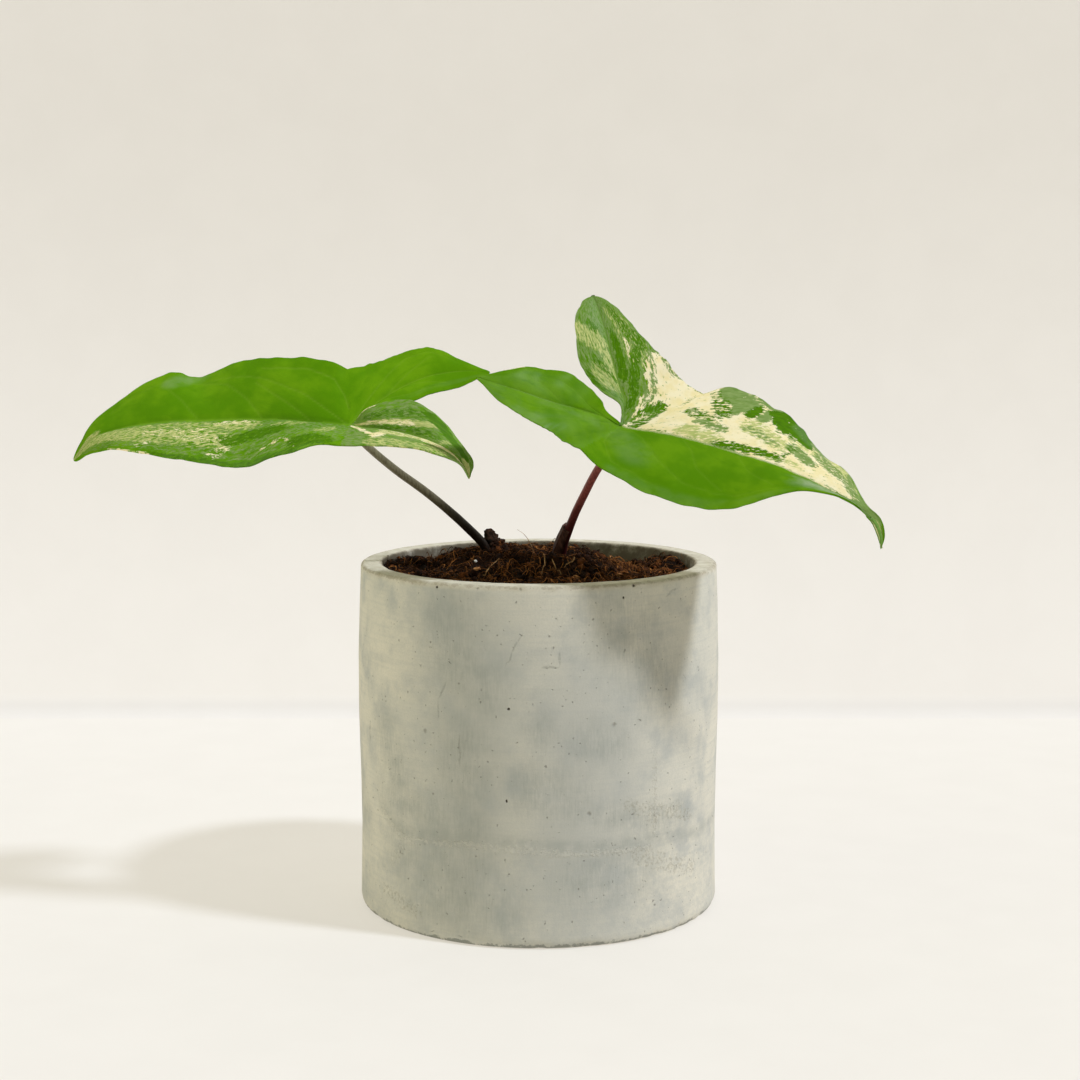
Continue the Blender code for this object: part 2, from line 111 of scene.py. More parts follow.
RIGHT_LEAF = {
    "attachment": (26, -38, 164),
    "sinus": (26.5, -37.5, 164.3),
    "midrib": [(34.5, -42, 163), (43.5, -46, 161.5), (53.5, -50, 159), (63, -54, 156.5), (72, -58, 154),
               (81, -61.5, 150.5), (89.5, -64.5, 146), (97.5, -66, 141.5), (103, -62, 136.5),
               (106, -57, 131.5)],
    "tip": (107, -53, 127),
    "back_shoulder": (53, -27, 174),
    "back_margin": [(61, -28, 176), (68.5, -31, 173.5), (75.5, -34, 170), (82, -38, 165.5),
                    (86.5, -42, 159.5), (90.5, -48, 154.5), (95.5, -54, 151), (100, -64, 142.5),
                    (105.5, -60, 137), (107.5, -56, 131.5)],
    "front_shoulder": (13, -57, 158.5),
    "front_margin": [(20.5, -62, 152), (32.5, -67, 146.5), (46, -70, 142), (58.5, -72, 142),
                     (70, -72, 145.5), (80, -71, 147), (88.5, -71, 146), (96, -68, 142.5), (101, -64, 138),
                     (104.5, -58, 132.5)],
    "back_lobe": {
        "costa": [(27.5, -32.5, 171), (25.5, -29, 177.5), (23.5, -24, 186), (21.5, -19, 194.5),
                  (19.5, -15, 201)],
        "outer": [(47.5, -25, 177), (41, -23, 184.5), (35.5, -20, 190), (30, -17, 196.5), (24.5, -14, 202)],
        "inner": [(26.3, -34.4, 171), (19.5, -32, 175.5), (14, -28, 182.5), (12, -23, 192.5),
                  (13, -18, 201)],
        "tip": (18, -13, 205),
    },
    "front_lobe": {
        "costa": [(20.5, -43, 167.5), (13, -47, 170), (4, -50, 172.5), (-4.5, -52, 175.5), (-12, -54, 178)],
        "outer": [(8, -59, 161), (3, -60, 165), (-3, -60, 168), (-9, -59, 171.5), (-13.5, -57, 174.5)],
        "inner": [(21.5, -41, 169), (19, -42, 173.5), (11.5, -43, 180), (2, -45, 182.5), (-6.5, -49, 183)],
        "tip": (-19, -55, 180.5),
    },
}
HALF_WIDTH = {"main": 27, "back_lobe": 24, "front_lobe": 20}  # round sizes that strokes are measured in
LOBE_LENGTH = {"main": 103, "back_lobe": 50, "front_lobe": 50}
SIDE_CELLS = 36
ROWS = {"main": 170, "back_lobe": 84, "front_lobe": 84}
LOBES = ("main", "back_lobe", "front_lobe")

# Stems: routes, and radii as (share of the route, radius), in millimetres
LEFT_PETIOLE = [(-17, 6, 106), (-17.2, 5.6, 113), (-18.3, 4.6, 120), (-24, 0.7, 127), (-31, -4.4, 134.2),
                (-38.5, -9, 141), (-46, -13.1, 147), (-52.3, -17, 152.7), (-57.6, -21.3, 158.2),
                (-60.9, -24.7, 162.7)]
LEFT_RADII = [(0.0, 1.7), (0.22, 1.6), (0.5, 1.4), (1.0, 1.2)]
RIGHT_PETIOLE = [(7.5, 3, 106), (7.3, 1.5, 113), (8, -1.6, 120.5), (9.8, -6.4, 126.6), (12.3, -12.5, 133.7),
                 (15.2, -19.5, 140.8), (18.1, -25.8, 147.4), (21.5, -31.3, 153.8), (24.3, -35.4, 159.2),
                 (26, -37.6, 162.9)]
RIGHT_RADII = [(0.0, 1.9), (0.22, 1.75), (0.4, 1.4), (1.0, 1.2)]
STUB_PROFILE = [(0, 17.6), (1.2, 17.4), (2.0, 16.2), (1.8, 15.2), (2.7, 14.2), (2.6, 13.2), (3.5, 12.2),
                (3.5, 11.4), (4.6, 10.2), (4.8, 8.0), (4.3, 4.0), (3.4, 1.0), (0, 0)]
STUB_FOOT = (-11.6, 8.6, 109.2)
STUB_LEAN = (-0.36, -0.1, 1.0)
ROOTLETS = {
    "rootlet_front": [(1.5, -12), (1.9, -18), (2.1, -24), (1.6, -27), (1.0, -30)],
    "rootlet_middle": [(4.5, -19), (5.4, -23), (6.4, -26), (7.4, -30)],
    "rootlet_right": [(12.0, -12), (11.6, -16), (10.4, -20), (8.4, -23)],
    "rootlet_left": [(-18.0, -27.5), (-17.0, -25.2), (-15.4, -23), (-12.6, -20.5)],
}
STANDING_HAIR = [(-1.5, -1.0, 117.5), (-2.0, -1.2, 120.0), (-3.2, -1.5, 122.8), (-5.0, -1.8, 125.2),
                 (-7.2, -2.0, 126.8)]
# Chips: x, y, length, width, thickness and turn in degrees
BARK_CHIPS = {
    "bark_chip_left": (-20.0, -23.5, 2.6, 1.3, 0.9, 25),
    "bark_chip_right": (27.0, -17, 3.2, 1.5, 1.1, -35),
    "bark_chip_front": (12.2, -29, 2.8, 1.4, 0.9, 70),
}
PERLITE_PLACE = (-20.7, -18.5)


# --- making pieces -----------------------------------------------------------------------------------------


def clear_selection():
    active = bpy.context.view_layer.objects.active
    if active and active.mode != "OBJECT":
        bpy.ops.object.mode_set(mode="OBJECT")
    bpy.ops.object.select_all(action="DESELECT")


def take(obj):
    clear_selection()
    obj.select_set(True)
    bpy.context.view_layer.objects.active = obj


def points_of(obj):
    flat = np.zeros(3 * len(obj.data.vertices))
    obj.data.vertices.foreach_get("co", flat)
    return flat.reshape(-1, 3)


def set_points(obj, points):
    obj.data.vertices.foreach_set("co", np.asarray(points, float).ravel())
    obj.data.update()


def write_values(obj, name, values):
    """One number for each point of the mesh, for materials to read."""
    layer = obj.data.attributes.get(name) or obj.data.attributes.new(name, "FLOAT", "POINT")
    layer.data.foreach_set("value", np.asarray(values, np.float32))


def settle(obj, name, slot, *nodes):
    """Names a finished piece, puts its place into its mesh, and has it ride and stand for its CAD nodes."""
    take(obj)
    bpy.ops.object.transform_apply(location=True, rotation=True, scale=True)
    obj.name = obj.data.name = name
    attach(obj, "root")
    if nodes:
        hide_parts(*nodes)


def wear(obj, *materials):
    obj.data.materials.clear()
    for material in materials:
        obj.data.materials.append(material)


def turned(profile, segments):
    """A closed shape turned about Z from a profile of (radius, height) that starts and ends on the axis."""
    clear_selection()
    bpy.ops.mesh.primitive_plane_add(size=MM)
    bpy.ops.object.mode_set(mode="EDIT")
    bpy.ops.mesh.merge(type="CENTER")
    radius, height = profile[0]
    bpy.ops.transform.translate(value=(radius * MM, 0, height * MM))
    for (radius, height), (next_radius, next_height) in zip(profile, profile[1:]):
        step = ((next_radius - radius) * MM, 0, (next_height - height) * MM)
        bpy.ops.mesh.extrude_region_move(TRANSFORM_OT_translate={"value": step})
    bpy.ops.mesh.select_all(action="SELECT")
    bpy.ops.mesh.spin(steps=segments, angle=math.tau, axis=(0, 0, 1), center=(0, 0, 0))
    bpy.ops.mesh.select_all(action="SELECT")
    bpy.ops.mesh.remove_doubles(threshold=0.005 * MM)
    bpy.ops.mesh.normals_make_consistent(inside=False)
    bpy.ops.object.mode_set(mode="OBJECT")
    bpy.ops.object.shade_smooth()
    return bpy.context.object


def through(points, share):
    """The point at share, 0 to 1, of a smooth curve through the points."""
    points = [np.array(point, float) for point in points]
    points = [2 * points[0] - points[1], *points, 2 * points[-1] - points[-2]]
    place = min(max(share, 0), 1) * (len(points) - 3)
    first = min(int(place), len(points) - 4)
    t = place - first
    a, b, c, d = points[first:first + 4]
    return b + 0.5 * t * (c - a + t * (2 * a - 5 * b + 4 * c - d + t * (3 * (b - c) + d - a)))


def along(steps, share):
    shares, values = zip(*steps)
    return float(np.interp(share, shares, values))


def bumps(point, size):
    """Smooth noise from -1 to 1 at a point in millimetres, with lumps of about the size."""
    return noise.noise(Vector(point) / size)


def tube(route, radii, steps, sides):
    """A round stem along a smooth route, with closed ends. Each point knows its share of the route."""
    curve = bpy.data.curves.new("route", "CURVE")
    curve.dimensions = "3D"
    curve.bevel_depth = MM
    curve.bevel_resolution = sides
    curve.use_fill_caps = True
    spline = curve.splines.new("POLY")
    spline.points.add(steps)
    stations = [through(route, i / steps) * MM for i in range(steps + 1)]
    for i, (point, station) in enumerate(zip(spline.points, stations)):
        point.co = (*station, 1)
        point.radius = along(radii, i / steps)
    obj = bpy.data.objects.new("stem", curve)
    bpy.context.scene.collection.objects.link(obj)
    take(obj)
    bpy.ops.object.convert(target="MESH")
    obj = bpy.context.object
    bpy.ops.object.shade_smooth()
    points = points_of(obj)
    nearest = [int(np.argmin(((np.array(stations) - p) ** 2).sum(1))) for p in points]
    write_values(obj, "along", [i / steps for i in nearest])
    return obj


# --- materials ---------------------------------------------------------------------------------------------


def node(tree, kind, inputs=None, **settings):
    """A node of a tree. An input is a value, or the socket that feeds it."""
    made = tree.nodes.new("ShaderNode" + kind)
    for name, value in settings.items():
        setattr(made, name, value)
    for name, value in (inputs or {}).items():
        if isinstance(value, bpy.types.NodeSocket):
            tree.links.new(value, made.inputs[name])
        else:
            made.inputs[name].default_value = value
    return made


def blend(tree, factor, below, above):
    """Colour above laid over colour below by the factor."""
    inputs = {0: factor, 6: below, 7: above}
    inputs = {place: (*value, 1) if isinstance(value, tuple) else value for place, value in inputs.items()}
    return node(tree, "Mix", inputs, data_type="RGBA").outputs[2]


def maths(tree, operation, first, second, **settings):
    return node(tree, "Math", {0: first, 1: second}, operation=operation, **settings).outputs[0]


def times(tree, first, second):
    return maths(tree, "MULTIPLY", first, second)


def laid(tree, colour, mask, share, paint):
    """A share of a paint laid over a colour where the mask is."""
    return blend(tree, times(tree, mask, share), colour, paint)


def ramp(tree, value, low, high, new_low=0.0, new_high=1.0):
    inputs = {"Value": value, "From Min": low, "From Max": high, "To Min": new_low, "To Max": new_high}
    return node(tree, "MapRange", inputs, interpolation_type="SMOOTHSTEP").outputs[0]


def attribute(tree, name):
    return node(tree, "Attribute", attribute_name=name).outputs["Fac"]


def scaled(tree, vector, scale):
    return node(tree, "Mapping", {"Vector": vector, "Scale": scale}).outputs[0]


def object_place(tree):
    """Object coordinates in millimetres."""
    place = node(tree, "TexCoord").outputs["Object"]
    return scaled(tree, place, (1 / MM, 1 / MM, 1 / MM))


def height_of(tree, place):
    return node(tree, "SeparateXYZ", {0: place}).outputs[2]


def noise_at(tree, place, scale, detail, roughness=0.5):
    """Noise with so many lumps to each unit of the place."""
    inputs = {"Vector": place, "Scale": scale, "Detail": detail, "Roughness": roughness}
    return node(tree, "TexNoise", inputs).outputs[0]


def new_group(name, inputs, output):
    """A group of shader nodes with named inputs, each of its kind, and one number that it puts out."""
    group = bpy.data.node_groups.new(name, "ShaderNodeTree")
    for label, kind in inputs:
        group.interface.new_socket(name=label, in_out="INPUT", socket_type="NodeSocket" + kind)
    group.interface.new_socket(name=output, in_out="OUTPUT", socket_type="NodeSocketFloat")
    given = group.nodes.new("NodeGroupInput").outputs
    return group, given, group.nodes.new("NodeGroupOutput").inputs[output]


def use(tree, group, inputs):
    return node(tree, "Group", inputs, node_tree=group).outputs[0]


def make_clouds():
    """Uneven patches: noise stretched between two levels."""
    inputs = [("Vector", "Vector"), ("Scale", "Float"), ("Detail", "Float"), ("Low", "Float"),
              ("High", "Float")]
    group, given, result = new_group("clouds", inputs, "Value")
    value = noise_at(group, given["Vector"], given["Scale"], given["Detail"], 0.6)
    group.links.new(ramp(group, value, given["Low"], given["High"]), result)
    return group


def make_ragged_edge():
    """Turns a soft coverage into patches with ragged edges and specks."""
    inputs = [("Coverage", "Float"), ("Vector", "Vector"), ("Scale", "Float"), ("Raggedness", "Float"),
              ("Softness", "Float")]
    group, given, result = new_group("ragged edge", inputs, "Mask")
    swing = maths(group, "SUBTRACT", noise_at(group, given["Vector"], given["Scale"], 4.0, 0.7), 0.5)
    swing = times(group, swing, given["Raggedness"])
    swing = times(group, swing, ramp(group, given["Coverage"], 0.0, 0.3))
    value = maths(group, "ADD", swing, given["Coverage"])
    low = maths(group, "SUBTRACT", 0.5, given["Softness"])
    high = maths(group, "ADD", 0.5, given["Softness"])
    group.links.new(ramp(group, value, low, high), result)
    return group


def make_wall_mark():
    """A long or round mark on the pot's wall, strongest in its middle and gone at its ends and sides."""
    sockets = [("Place", "Vector"), ("Middle", "Vector"), ("Turn", "Vector"), ("Size", "Vector"),
               ("Core", "Float")]
    group, given, result = new_group("wall mark", sockets, "Mask")
    inputs = {"Vector": given["Place"], "Location": given["Middle"], "Rotation": given["Turn"],
              "Scale": given["Size"]}
    moved = node(group, "Mapping", inputs, vector_type="TEXTURE").outputs[0]
    ball = node(group, "TexGradient", {"Vector": moved}, gradient_type="SPHERICAL").outputs["Fac"]
    group.links.new(ramp(group, ball, 0.0, given["Core"]), result)
    return group


clouds = make_clouds()
ragged_edge = make_ragged_edge()
wall_mark = make_wall_mark()


def cloud(tree, place, scale, low=0.35, high=0.65, detail=3.0):
    return use(tree, clouds, {"Vector": place, "Scale": scale, "Detail": detail, "Low": low, "High": high})


def ragged(tree, coverage, place, scale, raggedness, softness):
    return use(tree, ragged_edge, {"Coverage": coverage, "Vector": place, "Scale": scale,
                                   "Raggedness": raggedness, "Softness": softness})


def stain(tree, place, name, coverage, scale, raggedness, softness):
    """Ragged patches where an attribute written to the piece's points is strong."""
    return ragged(tree, times(tree, attribute(tree, name), coverage), place, scale, raggedness, softness)


def new_material(name, roughness, specular):
    made = bpy.data.materials.new(name)
    made.use_nodes = True
    tree = made.node_tree
    shader = tree.nodes["Principled BSDF"]
    shader.inputs["Roughness"].default_value = roughness
    shader.inputs["Specular IOR Level"].default_value = specular
    return made, tree, shader


def finish_surface(tree, shader, colour, height, depth):
    """Feeds the shader its colour, and its bump of a depth in millimetres."""
    tree.links.new(colour, shader.inputs["Base Color"])
    bump = node(tree, "Bump", {"Height": height, "Distance": depth * MM, "Strength": 1.0})
    tree.links.new(bump.outputs[0], shader.inputs["Normal"])


# Marks on the pot's wall, some of them painted shade and shadow: degrees round from the front towards the
# right, then height and half width in mm.
# A long mark has two such places before its half width. The tide line has places alone.
PINHOLES = [(-8.7, 77.5, 0.55), (-9.3, 48, 0.45), (-31.9, 114.6, 0.55), (29.9, 114.7, 0.5),
            (26.1, 111.3, 0.45), (151, 97, 0.5), (-141, 84, 0.5), (-97, 101, 0.5), (76, 31, 0.5)]
FAINT_PITS = [(-36.0, 68.3, 1.0), (15.2, 43.8, 0.8), (22.7, 71.5, 1.1), (22.2, 107.8, 0.6),
              (5.2, 105.9, 0.5), (4, 83.6, 0.4), (-42.9, 79.7, 0.5), (-23.9, 84.5, 0.5), (-33.2, 48, 0.5),
              (-18.3, 114.9, 0.5), (-5.4, 115, 0.6), (100, 88, 0.8), (128, 52, 0.9), (170, 60, 1.0),
              (-160, 30, 0.8), (-118, 58, 0.9)]
SCRATCHES = [(-4.5, 102.2, -10.1, 89.8, 0.35), (-28.3, 85, -31.1, 78.6, 0.5), (41.7, 110.5, 48.1, 113, 0.5),
             (0.8, 90.9, 6.1, 90.8, 0.6), (6.1, 90.8, 6.1, 95.9, 0.45), (-31.1, 78.6, -31.2, 72, 0.5),
             (-24, 69.4, -24, 57.2, 0.6), (-65.4, 66.4, -65.6, 58.6, 0.9), (120, 96, 133, 90, 0.5),
             (-150, 66, -146, 48, 0.5), (170, 104, 178, 101, 0.6)]
SMUDGES_AND_LEAF_SHADOW = [(-27.5, 106, -24, 90, 9), (-17.5, 88, -16, 82, 7), (-23, 66, -22, 52, 8), (-1, 52, 8, 49, 8),
           (0, 72, 1, 69, 4), (15, 67, 22, 65, 6), (-55, 44, -20, 40, 5), (-45, 27, -22, 24, 9),
           # The last row on the next line is no stain: it paints the right blade's shadow high on the front
           # right of the pot.
           (-55, 66, -48, 50, 6), (14, 22, 30, 24, 9), (-40, 15, -12, 13, 8), (24, 106, 38, 84, 11),
           (20, 42, 48, 39, 4), (100, 40, 125, 46, 9),
           (140, 80, 160, 74, 9), (-170, 30, -140, 26, 9), (-120, 74, -100, 66, 8), (-90, 40, -75, 34, 7)]
# The first two rows darken the middle of the front: painted shade between the sides that the light reaches,
# with some grey in the concrete too. The last two are grey patches round the back.
GREY_CAST_AND_SHADE = [(-26, 25, -18, 95, 24), (8, 20, 14, 75, 24), (150, 40, 175, 60, 26), (-120, 30, -110, 70, 20)]
TIDE_LINE = [(-57, 39.4), (-50, 34.2), (-42, 33.8), (-34.8, 34.6), (-21.2, 35.4), (-9.7, 34.7), (0.5, 34.4),
             (10.6, 33), (22.2, 32.4), (37.6, 33.2), (58.5, 30), (80, 31.5), (104, 34), (131, 32),
             (158, 35)]
PALE_CRUST = [(-57, 37.5, -50, 32.5, 1.6), (-50, 32.5, -42, 30.5, 1.5), (-42, 31.5, -22, 33, 1.2),
              (-52, 22.5, -47, 28, 1.6), (37.4, 63, 37.6, 34, 0.9), (-22, 33, 6, 31.5, 1.6),
              (6, 31, 36, 30, 1.3)]
GRIME = [(28, 45, 54, 37, 3), (32, 28, 56, 19, 4), (36, 40, 48, 41, 3), (-56, 12, -40, 8, 3),
         (150, 20, 175, 26, 4)]
DOT_LENGTH = 0.01
TIDE_WIDTH = 3.8
TIDE_FADE = (34.0, 28.0)  # heights between which the wall turns duller below the tide line

PALE_CONCRETE = (0.625, 0.60, 0.505)
WARM_CONCRETE = (0.71, 0.665, 0.54)
GREY_CONCRETE = (0.44, 0.445, 0.405)
DARK_CONCRETE = (0.29, 0.305, 0.27)
CRUST = (0.70, 0.67, 0.56)
BROWN_GRIME = (0.26, 0.23, 0.15)
SCRATCH_GREY = (0.2, 0.2, 0.165)
FOOT_SHADE_GREY = (0.17, 0.18, 0.155)
LIP_BROWN = (0.50, 0.45, 0.33)
LIP_PALE = (0.68, 0.64, 0.53)
EDGE_BROWN = (0.27, 0.21, 0.13)
DAMP_BROWN = (0.11, 0.088, 0.055)
SOILED_BROWN = (0.05, 0.032, 0.02)
PIT_SHADE_BROWN = (0.06, 0.05, 0.035)


def marks(tree, place, rows, core):
    """The strongest of a row of wall marks, each (degrees, height, degrees, height, half width)."""
    strongest = None
    for turn, height, end_turn, end_height, width in rows:
        start = Vector((math.radians(turn) * WALL_RADIUS, height, 0))
        end = Vector((math.radians(end_turn) * WALL_RADIUS, end_height, 0))
        reach = end - start
        inputs = {"Place": place, "Middle": (start + end) / 2, "Turn": (0, 0, math.atan2(reach.y, reach.x)),
                  "Size": (reach.length / 2 + width, width, 1), "Core": core}
        mark = use(tree, wall_mark, inputs)
        strongest = mark if strongest is None else maths(tree, "MAXIMUM", strongest, mark)
    return strongest


def dots(rows):
    """Round marks, as long ones of hardly any length."""
    return [(turn, height, turn, height + DOT_LENGTH, width) for turn, height, width in rows]


def unrolled_wall(tree, place):
    """Places on the pot's wall rolled out flat, with a small wobble that keeps marks from being ruled."""
    x, y, z = node(tree, "SeparateXYZ", {0: place}).outputs
    arc = times(tree, maths(tree, "ARCTAN2", x, times(tree, y, -1.0)), WALL_RADIUS)
    wall = node(tree, "CombineXYZ", {0: arc, 1: z, 2: 0.0}).outputs[0]
    wobble = node(tree, "TexNoise", {"Vector": place, "Scale": 0.35, "Detail": 2.0}).outputs["Color"]
    wobble = node(tree, "VectorMath", {0: wobble, 1: (0.5, 0.5, 0.5)}, operation="SUBTRACT").outputs[0]
    wobble = node(tree, "VectorMath", {0: wobble, "Scale": 1.6}, operation="SCALE").outputs[0]
    return node(tree, "VectorMath", {0: wall, 1: wobble}, operation="ADD").outputs[0]


def concrete_clouds(tree, place):
    """Grey-beige clouds with faint level lines and a fine grain, and a grey darkening over the middle of the
    front that is partly painted shade.
    """
    colour = blend(tree, cloud(tree, place, 0.03, 0.3, 0.7), PALE_CONCRETE, WARM_CONCRETE)
    colour = blend(tree, cloud(tree, place, 0.07, 0.42, 0.78, 5.0), colour, GREY_CONCRETE)
    lines = cloud(tree, scaled(tree, place, (0.04, 0.04, 1.0)), 0.9, 0.4, 0.75, 4.0)
    colour = laid(tree, colour, lines, 0.26, GREY_CONCRETE)
    colour = laid(tree, colour, cloud(tree, place, 1.6, 0.3, 0.7, 4.0), 0.16, DARK_CONCRETE)
    # Partly painted shade: this greys the middle of the front, between the lit sides.
    return laid(tree, colour, attribute(tree, "grey cast and shade"), 0.66, GREY_CONCRETE)


def water_stains_and_shadow(tree, place, z, colour, crust):
    """Smudges and streaks, among them a painted shadow of the right blade on the front right, the tide line
    with duller concrete below it, pale crust, and brown grime.
    """
    # Smudges, and the painted shadow of the right blade where it falls on the wall.
    smudge_and_shadow = attribute(tree, "smudge_and_shadow")
    upright = scaled(tree, place, (1.0, 1.0, 0.12))
    streaks = times(tree, smudge_and_shadow, cloud(tree, upright, 1.8, 0.35, 0.7, 5.0))
    patches = times(tree, smudge_and_shadow, cloud(tree, place, 0.16, 0.25, 0.75, 6.0))
    smudge_and_shadow = maths(tree, "ADD", times(tree, patches, 0.38), times(tree, streaks, 0.26))
    colour = blend(tree, smudge_and_shadow, colour, DARK_CONCRETE)
    tide = times(tree, attribute(tree, "tide"), cloud(tree, place, 0.25, 0.25, 0.65, 5.0))
    colour = laid(tree, colour, tide, 0.42, DARK_CONCRETE)
    below = times(tree, ramp(tree, z, *TIDE_FADE), cloud(tree, place, 0.45, 0.4, 0.7, 6.0))
    colour = laid(tree, colour, below, 0.35, GREY_CONCRETE)
    colour = laid(tree, colour, crust, 0.28, CRUST)
    grime = stain(tree, place, "grime", 0.42, 1.0, 4.0, 0.12)
    return laid(tree, colour, grime, 0.35, BROWN_GRIME)


def foot_and_lip(tree, place, z, colour):
    """The chipped foot, darkened by painted shade where it meets the table, the lip and its worn edges, and
    the damp and soiled wall inside the mouth.
    """
    # Painted shade: the lowest few millimetres of the wall turn dark grey where the pot stands on the table.
    foot = ragged(tree, ramp(tree, z, 0.4, 2.6, 0.7, 0.0), place, 0.35, 3.0, 0.15)
    colour = laid(tree, colour, foot, 0.7, FOOT_SHADE_GREY)
    lip_colour = blend(tree, cloud(tree, place, 0.25, 0.3, 0.7), LIP_BROWN, LIP_PALE)
    colour = laid(tree, colour, ramp(tree, z, POT_LIP_START, 115.4), 0.8, lip_colour)
    colour = laid(tree, colour, stain(tree, place, "edge", 0.55, 0.5, 2.5, 0.2), 0.5, EDGE_BROWN)
    colour = laid(tree, colour, stain(tree, place, "inside", 1.0, 0.14, 1.8, 0.4), 0.95, DAMP_BROWN)
    return laid(tree, colour, stain(tree, place, "soiled", 0.5, 0.4, 3.0, 0.1), 0.8, SOILED_BROWN)


def make_concrete():
    """Cast concrete: clouds and stains, with scratches, shallow pits and pinholes. Painted shade darkens the
    pits, the foot and the middle of the front, and a painted shadow of the right blade lies on the front
    right.
    """
    made, tree, shader = new_material("cast concrete", 0.85, 0.3)
    place = object_place(tree)
    z = height_of(tree, place)
    wall = unrolled_wall(tree, place)
    crust = stain(tree, place, "crust", 0.7, 0.9, 3.0, 0.3)
    scratches = times(tree, marks(tree, wall, SCRATCHES, 0.5), cloud(tree, place, 0.8, 0.2, 0.6))
    pits = marks(tree, wall, dots(FAINT_PITS), 0.8)
    pits = maths(tree, "MAXIMUM", pits, cloud(tree, place, 0.8, 0.72, 0.78, 1.0))
    holes = maths(tree, "MAXIMUM", marks(tree, wall, dots(PINHOLES), 0.6), times(tree, pits, 0.4))

    colour = water_stains_and_shadow(tree, place, z, concrete_clouds(tree, place), crust)
    colour = laid(tree, colour, scratches, 0.38, SCRATCH_GREY)
    colour = foot_and_lip(tree, place, z, colour)
    # Painted shade: pits and pinholes are painted dark brown for the shade inside them.
    colour = blend(tree, holes, colour, PIT_SHADE_BROWN)

    height = maths(tree, "SUBTRACT", times(tree, noise_at(tree, place, 2.2, 3.0), 0.18), holes)
    height = maths(tree, "ADD", height, times(tree, crust, 0.3))
    finish_surface(tree, shader, colour, height, 0.35)
    return made


def make_coir(name, dark, light, share):
    """Moist coir from dark to light: a share of its tone is each crumb's own, and the rest is patches."""
    made, tree, shader = new_material(name, 0.85, 0.1)
    place = object_place(tree)
    own = times(tree, attribute(tree, "tone"), share)
    patches = times(tree, cloud(tree, place, 0.8, 0.45, 0.75), 1 - share)
    tone = maths(tree, "ADD", own, patches, use_clamp=True)
    finish_surface(tree, shader, blend(tree, tone, dark, light), noise_at(tree, place, 1.8, 3.0), 0.5)
    return made


def make_stem_material(name, foot, middle, top, streak):
    """Stem skin that changes from its foot to its top, with fine upright streaks."""
    made, tree, shader = new_material(name, 0.42, 0.2)
    place = object_place(tree)
    share = attribute(tree, "along")
    colour = blend(tree, ramp(tree, share, 0.3, 0.6), foot, middle)
    colour = blend(tree, ramp(tree, share, 0.6, 1.0), colour, top)
    streaks = cloud(tree, scaled(tree, place, (1.0, 1.0, 0.12)), 1.5, 0.4, 0.7)
    colour = laid(tree, colour, streaks, 0.5, streak)
    finish_surface(tree, shader, colour, noise_at(tree, place, 1.2, 2.0), 0.15)
    return made


def make_rough_material(name, dark, light, scale, depth, stretch=(1.0, 1.0, 1.0), roughness=0.85):
    """Dry rough matter: two tones in ragged patches over a bumpy surface."""
    made, tree, shader = new_material(name, roughness, 0.1)
    place = scaled(tree, object_place(tree), stretch)
    colour = blend(tree, cloud(tree, place, scale, 0.35, 0.65, 5.0), dark, light)
    finish_surface(tree, shader, colour, noise_at(tree, place, 1.5 * scale, 4.0), depth)
    return made


GREEN = (0.125, 0.28, 0.004)
DEEP_GREEN = (0.082, 0.22, 0.002)
DARK_GREEN = (0.058, 0.155, 0.004)
MILKY_GREEN = (0.145, 0.25, 0.05)
PALE_MILKY_GREEN = (0.25, 0.345, 0.11)
OLIVE = (0.33, 0.41, 0.11)
PAINTED_SHEEN_GREEN = (0.30, 0.38, 0.24)
PALE_YELLOW = (0.62, 0.62, 0.24)
CREAM = (0.84, 0.73, 0.39)
PALE_CREAM = (0.89, 0.80, 0.53)
VEIN_GREEN = (0.28, 0.42, 0.05)
UNDERSIDE_GREEN = (0.22, 0.36, 0.13)
FLOW_UNIT = 100.0  # millimetres to each unit of the blades' UV map


